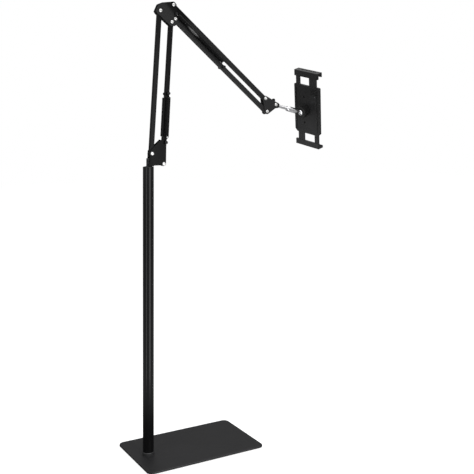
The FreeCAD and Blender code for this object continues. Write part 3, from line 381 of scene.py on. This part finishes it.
def turned(rings, segments=24, closed=False):
    """Points and faces turned about Z; a ring has a height, a radius and perhaps six flats."""
    points = []
    rows = []
    for height, radius, *flats in rings:
        if radius == 0:
            rows.append([len(points)])
            points.append((0, 0, height))
            continue
        row = []
        for step in range(segments):
            angle = math.tau * step / segments
            reach = radius
            if flats:
                reach = radius / math.cos((angle + math.pi / 6) % (math.pi / 3) - math.pi / 6)
            row.append(len(points))
            points.append((reach * math.cos(angle), reach * math.sin(angle), height))
        rows.append(row)
    faces = []
    pairs = list(zip(rows, rows[1:])) + ([(rows[-1], rows[0])] if closed else [])
    for low, high in pairs:
        for step in range(segments):
            after = (step + 1) % segments
            corners = [low[step % len(low)], low[after % len(low)],
                       high[after % len(high)], high[step % len(high)]]
            faces.append([corner for place, corner in enumerate(corners)
                          if corner not in corners[:place]])
    return points, faces


def outward(points, faces, name):
    """A mesh of these points and faces, with its faces pointing out."""
    mesh = bpy.data.meshes.new(name)
    mesh.from_pydata(points, [], faces)
    work = bmesh.new()
    work.from_mesh(mesh)
    bmesh.ops.remove_doubles(work, verts=work.verts, dist=1e-7)
    bmesh.ops.recalc_face_normals(work, faces=work.faces)
    work.to_mesh(mesh)
    work.free()
    return mesh


spindle_low, spindle_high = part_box("swivel_spindle")
clip_low, clip_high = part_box("spindle_clip")
bracket_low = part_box("lower_bracket")[0]
spindle_radius = spindle_high.x
spindle_chamfer = 0.5 * mm
groove_radius = 0.8 * spindle_radius
groove_end = clip_high.z + 0.1 * mm
thread_depth = 0.45 * mm
thread_pitch = 1.5 * mm
thread_chamfer = 0.6 * mm
thread_end_gap = 1.2 * mm
bracket_floor = 2.2 * mm
thread_foot = bracket_low.z + bracket_floor
thread_length = spindle_high.z - thread_foot - thread_end_gap
core = spindle_radius - thread_depth
spindle_rings = [
    (spindle_low.z, 0), (spindle_low.z, spindle_radius - spindle_chamfer),
    (spindle_low.z + spindle_chamfer, spindle_radius), (clip_low.z, spindle_radius),
    (clip_low.z, groove_radius), (groove_end, groove_radius),
    (groove_end, spindle_radius), (thread_foot, spindle_radius),
    (thread_foot + 0.4 * mm, core), (spindle_high.z - thread_chamfer, core),
    (spindle_high.z, core - thread_chamfer), (spindle_high.z, 0)]
spindle_mesh = outward(*turned(spindle_rings, segments=48), "spindle_core")
spindle_mesh.materials.append(dark_steel)
spindle_mesh.shade_smooth()
spindle_mesh.set_sharp_from_angle(angle=math.radians(32))
own_piece("spindle_core", spindle_mesh, "swivel", ["swivel_spindle"])

thread_tree, thread_start = started_tree("screw_thread", {
    "Radius": ("Float", 0.005), "Ridge": ("Float", 0.0005), "Length": ("Float", 0.02),
    "Turns": ("Float", 10.0)})
helix = add(thread_tree, "GeometryNodeCurveSpiral", {
    "Resolution": 28, "Rotations": thread_start.outputs["Turns"],
    "Start Radius": thread_start.outputs["Radius"], "End Radius": thread_start.outputs["Radius"],
    "Height": thread_start.outputs["Length"]})
ridge = add(thread_tree, "GeometryNodeCurvePrimitiveCircle", {
    "Resolution": 4, "Radius": thread_start.outputs["Ridge"]})
crest = add(thread_tree, "GeometryNodeCurveToMesh", {
    "Curve": helix.outputs["Curve"], "Profile Curve": ridge.outputs["Curve"], "Fill Caps": True})
threads = add(thread_tree, "GeometryNodeInstanceOnPoints", {
    "Points": thread_start.outputs["Geometry"], "Instance": crest.outputs["Mesh"]})
finished_tree(thread_tree, thread_start, threads.outputs["Instances"], corner=60)
grown("spindle_thread", [(0, 0, thread_foot + thread_end_gap / 2)], thread_tree, {
    "Radius": core, "Ridge": thread_depth, "Length": thread_length,
    "Turns": thread_length / thread_pitch, "Finish": dark_steel}, "swivel")


# Lower bracket
# Folded from one blank of sheet steel: two cheeks and the floor that sits on the pole. It has
# the satin black paint of the whole arm, with painted shade that makes it darkest over the pole.


def with_painted_shade(name, colour, roughness, specular, start, end, least):
    """A paint with painted shade, which grows darker from one point of the stand to another."""
    material = coated(name, colour, roughness, grain=1.2 * mm, depth=0.01 * mm,
                      specular=specular)
    tree = material.node_tree
    shader = tree.nodes["Principled BSDF"]
    even = shader.inputs["Base Color"].links[0].from_socket
    way = (Vector(end) - Vector(start)) / (Vector(end) - Vector(start)).length_squared
    first = Vector(start).dot(way)
    place = add(tree, "ShaderNodeTexCoord")
    along = add(tree, "ShaderNodeVectorMath", {
        0: place.outputs["Object"], 1: way}, operation="DOT_PRODUCT")
    darker = add(tree, "ShaderNodeMapRange", {
        "Value": along.outputs["Value"], "From Min": first, "From Max": first + 1,
        "To Min": 1.0, "To Max": least}, interpolation_type="SMOOTHSTEP")
    shaded = add(tree, "ShaderNodeVectorMath", {
        0: even, "Scale": darker.outputs[0]}, operation="SCALE")
    tree.links.new(shaded.outputs[0], shader.inputs["Base Color"])
    return material


# Painted shade: the bracket's paint darkens toward the pole's axis.
bracket_black = with_painted_shade("bracket_black_paint", (0.005, 0.005, 0.0052), roughness=0.3,
                       specular=0.12, start=(0.009, 0, 0.67), end=(0.001, 0, 0.67), least=0.0)
sheet_break = 0.35 * mm
dressed("lower_bracket", bracket_black, sheet_break)


# Arm tubes
# Four square steel tubes with rounded ends, drilled for their bolts, in pairs that keep the
# brackets level. The front one of the lower pair has the deepest black, as painted shade. The
# upper pair is a little paler, as painted light, and painted shade darkens its top tube toward
# the elbow.

satin_black = coated("satin_black_paint", (0.006, 0.006, 0.0062), roughness=0.3,
                     grain=1.2 * mm, depth=0.01 * mm, specular=0.14)
# A darker copy of the satin black; on the lower front tube its extra darkness is painted shade.
deep_black = coated("deep_black_paint", (0.004, 0.004, 0.0042), roughness=0.3,
                    grain=1.2 * mm, depth=0.01 * mm, specular=0.12)
# A paler copy of the satin black; on the upper under tube its paler tone is painted light.
arm_black = coated("arm_black_paint", (0.023, 0.023, 0.0235), roughness=0.4,
                   grain=1.2 * mm, depth=0.01 * mm)
# Painted light and shade: a paler copy of the satin black that darkens toward the elbow.
top_black = with_painted_shade("top_tube_paint", (0.03, 0.03, 0.0305), roughness=0.4, specular=0.1,
                   start=(0.1176, 0, 0.9838), end=(0.0869, 0, 1.0095), least=0.1)
tube_break = 0.15 * mm
for tube, paint in (("lower_rear", satin_black), ("lower_front", deep_black),
                    ("upper_top", top_black), ("upper_under", arm_black)):
    dressed(f"{tube}_tube", paint, tube_break)


# Elbow plates
# Two flat cheeks cut from sheet steel and painted satin black. They join the four tubes, and
# painted shade makes their coat darker toward the upper arm.

# Painted shade: the elbow plates' paint darkens toward the upper arm.
elbow_black = with_painted_shade("elbow_black_paint", (0.032, 0.032, 0.0325), roughness=0.4, specular=0.15,
                     start=(0.0411, 0, 1.0238), end=(0.0498, 0, 1.032), least=0.08)
for plate in ("elbow_plate_near", "elbow_plate_far"):
    dressed(plate, elbow_black, sheet_break)


# Pivot bolts, nuts and washers
# Zinc-plated button-head bolts with a hexagon socket run through each pivot. Chamfered hexagon
# nuts hold them on the far side, and nylon washers keep the tubes off the sheet.

plate_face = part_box("elbow_plate_far")[1].y
bolt_low, bolt_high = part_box("elbow_bolts")
nut_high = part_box("elbow_nuts")[1]
head_height = -plate_face - bolt_low.y
head_radius = 4.3 * mm
rim_chamfer = 0.15 * mm
shaft_radius = 2.5 * mm
shaft_chamfer = 0.4 * mm
socket_flat = 1.5 * mm
socket_mouth = 1.9 * mm
socket_floor = 1.2 * mm
dome_foot = 0.9 * mm
dome_top_radius = 2.3 * mm
dome_steps = 5
nut_flat = 4 * mm
nut_chamfer = 0.35 * mm

head_rings = [(socket_floor, 0), (socket_floor, socket_flat, 6),
              (head_height - 0.2 * mm, socket_flat, 6), (head_height, socket_mouth)]
for step in range(dome_steps + 1):
    angle = math.pi / 2 * step / dome_steps
    head_rings.append((dome_foot + (head_height - dome_foot) * math.cos(angle),
                       dome_top_radius + (head_radius - dome_top_radius) * math.sin(angle)))
shaft_end = -(bolt_high.y + plate_face)
head_rings += [(rim_chamfer, head_radius), (0, head_radius - rim_chamfer), (0, shaft_radius),
               (shaft_end + shaft_chamfer, shaft_radius),
               (shaft_end, shaft_radius - shaft_chamfer), (shaft_end, 0)]
nut_end = plate_face - nut_high.y
nut_rings = [(0, shaft_radius), (0, nut_flat * 0.96), (-0.3 * mm, nut_flat, 6),
             (nut_end + nut_chamfer, nut_flat, 6), (nut_end, nut_flat * 0.94),
             (nut_end, shaft_radius + nut_chamfer), (nut_end + nut_chamfer, shaft_radius)]


def pattern(name, rings, closed=False):
    """A turned shape that a geometry tree repeats; it is taken away after its last use."""
    shape = bpy.data.objects.new(name, outward(*turned(rings, closed=closed), name))
    bpy.context.scene.collection.objects.link(shape)
    return shape


bolt_pattern = pattern("bolt_pattern", head_rings)
nut_pattern = pattern("nut_pattern", nut_rings, closed=True)

fastener_tree, fastener_start = started_tree("fasteners_on_pivots", {
    "Pattern": ("Object", None), "Largest Turn": ("Float", 1.0), "Seed": ("Int", 3)})
picked = add(fastener_tree, "GeometryNodeObjectInfo", {
    "Object": fastener_start.outputs["Pattern"], "As Instance": True})
tightened = add(fastener_tree, "FunctionNodeRandomValue", {
    3: fastener_start.outputs["Largest Turn"], "Seed": fastener_start.outputs["Seed"]},
    data_type="FLOAT")
facing = add(fastener_tree, "ShaderNodeCombineXYZ", {"X": math.pi / 2})
face_turn = add(fastener_tree, "FunctionNodeEulerToRotation", {0: facing.outputs[0]})
own_turn = add(fastener_tree, "ShaderNodeCombineXYZ", {"Z": tightened.outputs[1]})
spin = add(fastener_tree, "FunctionNodeEulerToRotation", {0: own_turn.outputs[0]})
whole_turn = add(fastener_tree, "FunctionNodeRotateRotation", {
    "Rotation": face_turn.outputs[0], "Rotate By": spin.outputs[0]}, rotation_space="LOCAL")
fasteners = add(fastener_tree, "GeometryNodeInstanceOnPoints", {
    "Points": fastener_start.outputs["Geometry"], "Instance": picked.outputs["Geometry"],
    "Rotation": whole_turn.outputs[0]})
finished_tree(fastener_tree, fastener_start, fasteners.outputs["Instances"])

joints = {joint["name"]: joint for joint in frame["joints"]}
pivot = {name: Vector(joint["pos_m"]) for name, joint in joints.items() if "pos_m" in joint}
front_step = pivot["lower_link"] - pivot["lower_lift"]
under_step = pivot["upper_link"] - pivot["upper_lift"]
pivots = {
    "lower": [pivot["lower_lift"], pivot["lower_link"]],
    "elbow": [pivot["elbow_level"], pivot["elbow_level"] + front_step,
              pivot["upper_lift"], pivot["upper_link"]],
    "end": [pivot["end_level"], pivot["end_level"] + under_step],
}
near_face = Vector((0, -plate_face, 0))
far_face = Vector((0, plate_face, 0))
for place, centres in pivots.items():
    body = nodes[f"{place}_bolts"]["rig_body"]
    for kind, shape, face, seed, replaced in (
            ("button_heads", bolt_pattern, near_face, len(place), "bolts"),
            ("hexagon_nuts", nut_pattern, far_face, len(place) + 1, "nuts")):
        grown(f"{place}_{kind}", [centre + face for centre in centres], fastener_tree, {
            "Pattern": shape, "Largest Turn": 1.0, "Seed": seed, "Finish": zinc_plate},
            body, [f"{place}_{replaced}"])
    finish(f"{place}_washers", black_nylon)


# Balance springs
# Four close-wound extension springs of blackened wire hang by their end loops on studs riveted
# in the brackets and on cross bolts through the tubes. The upper pair's lower loops are bent to
# one side, so that it lies along the arm, and the near one has a painted highlight in one place.

spring_black = (0.003, 0.003, 0.0032)
spring_steel = coated("oiled_spring_steel", spring_black, roughness=0.28, grain=0.3 * mm,
                      depth=0.003 * mm, specular=0.16)
for name in ("lower_spring_studs", "upper_spring_studs", "lower_spring_bolt",
             "upper_spring_bolt", "lower_spring_nut", "upper_spring_nut"):
    dressed(name, dark_steel, bevel=0.25 * mm)

spring_tree, spring_start = started_tree("close_wound_spring", {
    "Length": ("Float", 0.11), "Coil Radius": ("Float", 0.004), "Wire Radius": ("Float", 0.0007),
    "Loop Radius": ("Float", 0.003), "Lead": ("Float", 0.014), "Tail": ("Float", 0.009),
    "Turns": ("Float", 60.0), "Tilt": ("Float", 0.0), "Hook Side": ("Float", 0.0)})


def reckon(tree, operation, *values):
    """One arithmetic node's result."""
    return add(tree, "ShaderNodeMath", dict(enumerate(values)), operation=operation).outputs[0]


def at(tree, x=0.0, y=0.0, z=0.0):
    """A point of three numbers or outputs."""
    return add(tree, "ShaderNodeCombineXYZ", {"X": x, "Y": y, "Z": z}).outputs[0]


loop_start = math.radians(150)
loop_sweep = math.radians(285)


def loop_and_link(tree, start, lead, side):
    """The loop round the origin, and the wire to a coil whose middle lies off to one side."""
    loop_radius = start.outputs["Loop Radius"]
    coil_radius = start.outputs["Coil Radius"]
    loop = add(tree, "GeometryNodeCurveArc", {
        "Resolution": 28, "Radius": loop_radius, "Start Angle": loop_start,
        "Sweep Angle": loop_sweep}, mode="RADIUS")
    upright = add(tree, "GeometryNodeTransform", {
        "Geometry": loop.outputs["Curve"], "Rotation": (math.pi / 2, 0, 0)})
    near_x = reckon(tree, "MULTIPLY", loop_radius, math.cos(loop_start))
    near_z = reckon(tree, "MULTIPLY", loop_radius, math.sin(loop_start))
    coil_start = reckon(tree, "ADD", coil_radius, side)
    link = add(tree, "GeometryNodeCurvePrimitiveBezierSegment", {
        "Resolution": 16,
        "Start": at(tree, near_x, 0.0, near_z),
        "Start Handle": at(tree, reckon(tree, "MULTIPLY", near_x, 0.4), 0.0,
                           reckon(tree, "MULTIPLY", lead, 0.5)),
        "End Handle": at(tree, coil_start, reckon(tree, "MULTIPLY", coil_radius, -0.9),
                         reckon(tree, "MULTIPLY", lead, 0.94)),
        "End": at(tree, coil_start, 0.0, lead)}, mode="POSITION")
    return upright.outputs[0], link.outputs["Curve"]


lead = spring_start.outputs["Lead"]
tail = spring_start.outputs["Tail"]
length = spring_start.outputs["Length"]
hook_side = spring_start.outputs["Hook Side"]
coil = add(spring_tree, "GeometryNodeCurveSpiral", {
    "Resolution": 16, "Rotations": spring_start.outputs["Turns"],
    "Start Radius": spring_start.outputs["Coil Radius"],
    "End Radius": spring_start.outputs["Coil Radius"],
    "Height": reckon(spring_tree, "SUBTRACT", reckon(spring_tree, "SUBTRACT", length, lead),
                     tail)})
raised = add(spring_tree, "GeometryNodeTransform", {
    "Geometry": coil.outputs["Curve"], "Translation": at(spring_tree, 0.0, 0.0, lead)})
first = loop_and_link(spring_tree, spring_start, lead, 0.0)
second = loop_and_link(spring_tree, spring_start, tail,
                       reckon(spring_tree, "MULTIPLY", hook_side, -1.0))
second_wire = add(spring_tree, "GeometryNodeJoinGeometry")
for curve in second:
    spring_tree.links.new(curve, second_wire.inputs[0])
turned_over = add(spring_tree, "GeometryNodeTransform", {
    "Geometry": second_wire.outputs[0],
    "Translation": at(spring_tree, hook_side, 0.0, length),
    "Rotation": (math.pi, 0, 0)})
whole_wire = add(spring_tree, "GeometryNodeJoinGeometry")
for curve in (raised.outputs[0], turned_over.outputs[0], *first):
    spring_tree.links.new(curve, whole_wire.inputs[0])
wire_round = add(spring_tree, "GeometryNodeCurvePrimitiveCircle", {
    "Resolution": 8, "Radius": spring_start.outputs["Wire Radius"]})
wound = add(spring_tree, "GeometryNodeCurveToMesh", {
    "Curve": whole_wire.outputs[0], "Profile Curve": wire_round.outputs["Curve"],
    "Fill Caps": True})
leaning = add(spring_tree, "FunctionNodeEulerToRotation", {
    0: at(spring_tree, 0.0, spring_start.outputs["Tilt"], 0.0)})
hung = add(spring_tree, "GeometryNodeInstanceOnPoints", {
    "Points": spring_start.outputs["Geometry"], "Instance": wound.outputs["Mesh"],
    "Rotation": leaning.outputs[0]})
finished_tree(spring_tree, spring_start, hung.outputs["Instances"], corner=60)


def middle(node):
    """The middle of a CAD node's box."""
    low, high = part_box(node)
    return (low + high) / 2


wire_radius = 0.75 * mm
coil_outside = 5.35 * mm
coil_radius = coil_outside - wire_radius
turn_pitch = 2.04 * wire_radius
loop_radius = 3.05 * mm
tube_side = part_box("upper_under_tube")[1].y
tube_gap = 0.5 * mm
spring_side = tube_side + tube_gap + coil_outside
# Painted highlight: a bright patch in the near upper spring's colour.
highlight_middle = (0.1073, -0.0162, 0.972)
highlight_slope = math.radians(-40)
highlight_reach = 19 * mm
highlight_half_width = 2.4 * mm
highlight_colour = (0.2, 0.2, 0.2)
highlighted_spring_steel = coated("spring_steel_painted_highlight", spring_black, roughness=0.28, grain=0.3 * mm,
                    depth=0.003 * mm, specular=0.16)
highlight_tree = highlighted_spring_steel.node_tree
highlight_shader = highlight_tree.nodes["Principled BSDF"]
blacked = highlight_shader.inputs["Base Color"].links[0].from_socket
highlight_place = add(highlight_tree, "ShaderNodeTexCoord")
from_patch = add(highlight_tree, "ShaderNodeVectorMath", {
    0: highlight_place.outputs["Object"], 1: highlight_middle}, operation="SUBTRACT")
flat_patch = add(highlight_tree, "ShaderNodeVectorMath", {
    0: from_patch.outputs[0], 1: (1, 0, 1)}, operation="MULTIPLY")
patch_frame = add(highlight_tree, "ShaderNodeVectorRotate", {
    "Vector": flat_patch.outputs[0], "Axis": (0, 1, 0), "Angle": highlight_slope},
    rotation_type="AXIS_ANGLE")
patch_shape = add(highlight_tree, "ShaderNodeVectorMath", {
    0: patch_frame.outputs[0], 1: (1 / highlight_reach, 1.0, 1 / highlight_half_width)},
    operation="MULTIPLY")
patch_reach = add(highlight_tree, "ShaderNodeVectorMath", {0: patch_shape.outputs[0]},
                  operation="LENGTH")
highlight_mask = add(highlight_tree, "ShaderNodeMapRange", {
    "Value": patch_reach.outputs["Value"], "From Min": 0.5, "From Max": 1.2,
    "To Min": 1.0, "To Max": 0.0}, interpolation_type="SMOOTHSTEP")
highlight_tint = add(highlight_tree, "ShaderNodeVectorMath", {
    0: highlight_colour, "Scale": highlight_mask.outputs[0]}, operation="SCALE")
both_colours = add(highlight_tree, "ShaderNodeVectorMath", {
    0: blacked, 1: highlight_tint.outputs[0]}, operation="ADD")
highlight_tree.links.new(both_colours.outputs[0], highlight_shader.inputs["Base Color"])
springs = {
    "lower": {"lead": 14 * mm, "tail": 9 * mm, "hook_side": 0.0, "blended_share": 1.0,
              "bodies": ("swivel", "lower_front_link")},
    "upper": {"lead": 6 * mm, "tail": 10 * mm, "hook_side": 8 * mm, "blended_share": 0.2,
              "bodies": ("elbow", "upper_under_link")},
}
for arm, spring in springs.items():
    stud = middle(f"{arm}_spring_studs")
    hook = middle(f"{arm}_spring_nut")
    for side, reach in (("near", -spring_side), ("far", spring_side)):
        begin = Vector((stud.x, reach, stud.z))
        end = Vector((hook.x, reach, hook.z))
        run = end - begin
        axis_length = math.sqrt(run.length_squared - spring["hook_side"] ** 2)
        coil_length = axis_length - spring["lead"] - spring["tail"]
        piece = grown(f"{arm}_wound_spring_{side}", [begin], spring_tree, {
            "Length": axis_length, "Coil Radius": coil_radius, "Wire Radius": wire_radius,
            "Loop Radius": loop_radius, "Lead": spring["lead"], "Tail": spring["tail"],
            "Turns": float(round(coil_length / turn_pitch)),
            "Tilt": math.atan2(run.x, run.z) - math.asin(spring["hook_side"] / run.length),
            "Hook Side": spring["hook_side"],
            "Finish": highlighted_spring_steel if (arm, side) == ("upper", "near") else spring_steel},
            None, [f"{arm}_spring_{side}"])
        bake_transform(piece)


# End plates and tilt knob
# Two small cheeks of the same painted sheet carry the tilt pivot. Its bolt runs into a moulded
# wing knob, which clamps the pivot by hand.

for plate in ("end_plate_near", "end_plate_far"):
    dressed(plate, arm_black, sheet_break)
black_plastic = coated("black_plastic", (0.017, 0.017, 0.0175), roughness=0.45,
                       grain=0.4 * mm, depth=0.02 * mm)
grown("tilt_button_head", [pivot["head_tilt"] + near_face], fastener_tree, {
    "Pattern": bolt_pattern, "Largest Turn": 1.0, "Seed": 8, "Finish": zinc_plate},
    "end_bracket", ["tilt_bolt"])
finish("tilt_washers", black_nylon)
dressed("tilt_knob", black_plastic, bevel=0.5 * mm)
for shape in (bolt_pattern, nut_pattern):
    bpy.data.objects.remove(shape)


# Eye block and ball rod
# A painted block turns between the end plates. The turned rod screwed in it has a thick grip
# sleeve, a neck and a ball, and is polished and chrome plated.

chrome = coated("polished_chrome", (0.88, 0.88, 0.9), roughness=0.09, grain=2 * mm,
                depth=0.002 * mm, specular=0.5, metallic=1.0, uneven=0.01)
dressed("tilt_eye", arm_black, bevel=0.2 * mm)
finish("rod_screw", dark_steel)
dressed("ball_rod", chrome)


# Ball socket
# A moulded socket with a round foot sits on the clamp's back. A friction cup of nylon holds the
# ball in it, under a knurled plastic ring that screws down on the socket.

dressed("ball_socket", black_plastic, bevel=0.6 * mm)
finish("ball_cup", black_nylon)
knurled_plastic = coated("knurled_plastic", (0.01, 0.01, 0.01), roughness=0.5,
                         grain=0.9 * mm, depth=0.12 * mm, specular=0.35)
dressed("ball_ring", knurled_plastic, bevel=0.2 * mm)


# Clamp body
# Two moulded shells screwed together from the back, with the jaws' rails running between them
# and a rubber pad in front. Ribs stiffen the edges of the back, with a few thumb ridges above.

moulded_break = 0.3 * mm
dressed("clamp_rear_shell", black_plastic, moulded_break)
dressed("clamp_front_plate", black_plastic, moulded_break)
finish("clamp_grip_pad", black_rubber)
finish("clamp_screws", deep_black)

clamp_out = Vector(joints["clamp_roll"]["axis"])
clamp_up = Vector(joints["top_jaw_slide"]["axis"])
clamp_across = clamp_out.cross(clamp_up)
ball = pivot["ball_tilt"]


def span(node, direction):
    """How far a CAD node reaches from the ball along a direction, both ways."""
    reach = [(point.co - ball).dot(direction) for point in nodes[node].data.vertices]
    return min(reach), max(reach)


def on_clamp(across, out, up):
    """A point by its distances from the ball in the clamp's own directions."""
    return ball + across * clamp_across + out * clamp_out + up * clamp_up


back = span("clamp_rear_shell", clamp_out)[0]
left, right = span("clamp_rear_shell", clamp_across)
bottom, top = span("clamp_rear_shell", clamp_up)

ridge_tree, ridge_start = started_tree("moulded_ridges", {
    "Way": ("Vector", None), "Radius": ("Float", 0.001)})
backwards = add(ridge_tree, "ShaderNodeVectorMath", {
    0: ridge_start.outputs["Way"], "Scale": -1.0}, operation="SCALE")
ridge_line = add(ridge_tree, "GeometryNodeCurvePrimitiveLine", {
    "Start": backwards.outputs[0], "End": ridge_start.outputs["Way"]})
ridge_round = add(ridge_tree, "GeometryNodeCurvePrimitiveCircle", {
    "Resolution": 12, "Radius": ridge_start.outputs["Radius"]})
ridge_bar = add(ridge_tree, "GeometryNodeCurveToMesh", {
    "Curve": ridge_line.outputs["Curve"], "Profile Curve": ridge_round.outputs["Curve"],
    "Fill Caps": True})
ridges = add(ridge_tree, "GeometryNodeInstanceOnPoints", {
    "Points": ridge_start.outputs["Geometry"], "Instance": ridge_bar.outputs["Mesh"]})
finished_tree(ridge_tree, ridge_start, ridges.outputs["Instances"], corner=40)

ridge_radius = 0.9 * mm
ridge_depth = back + 0.3 * mm
thumb_middle = right - 18.5 * mm
thumb_top = top - 7 * mm
thumb_reach = 9.5 * mm
thumb_pitch = 4.2 * mm
thumb_count = 4
grown("thumb_ridges", [
    on_clamp(thumb_middle, ridge_depth, thumb_top - thumb_pitch * step)
    for step in range(thumb_count)], ridge_tree, {
        "Way": thumb_reach * clamp_across, "Radius": ridge_radius, "Finish": deep_black},
    "clamp")
rib_inset = 7.5 * mm
rib_reach = (top - bottom) / 2 - 9 * mm
grown("edge_ribs", [
    on_clamp(place, ridge_depth, (top + bottom) / 2)
    for place in (left + rib_inset, right - rib_inset)], ridge_tree, {
        "Way": rib_reach * clamp_up, "Radius": ridge_radius, "Finish": deep_black},
    "clamp")


# Jaws
# A hooked bar and two flat rails, moulded in one piece, slide in the clamp at each end. A
# rubber lining is snapped in each jaw's mouth, and its lugs show through the upper jaw's top.

jaw_plastic = coated("jaw_plastic", (0.024, 0.024, 0.0245), roughness=0.4, grain=0.4 * mm,
                     depth=0.02 * mm)
for side in ("upper", "lower"):
    dressed(f"{side}_jaw", jaw_plastic, moulded_break)
    finish(f"{side}_jaw_lining", black_rubber)

lug_count = 4
lug_pitch = 13 * mm
lug_radius = 1.4 * mm
lug_reach = 4.6 * mm
jaw_middle = sum(span("upper_jaw", clamp_across)) / 2
lug_depth = span("upper_jaw", clamp_out)[0] + 11 * mm
lug_height = span("upper_jaw", clamp_up)[1] - 0.4 * mm
grown("lining_lugs", [
    on_clamp(jaw_middle + lug_pitch * (place - (lug_count - 1) / 2), lug_depth, lug_height)
    for place in range(lug_count)], ridge_tree, {
        "Way": lug_reach * clamp_across, "Radius": lug_radius, "Finish": black_rubber},
    "top_jaw")
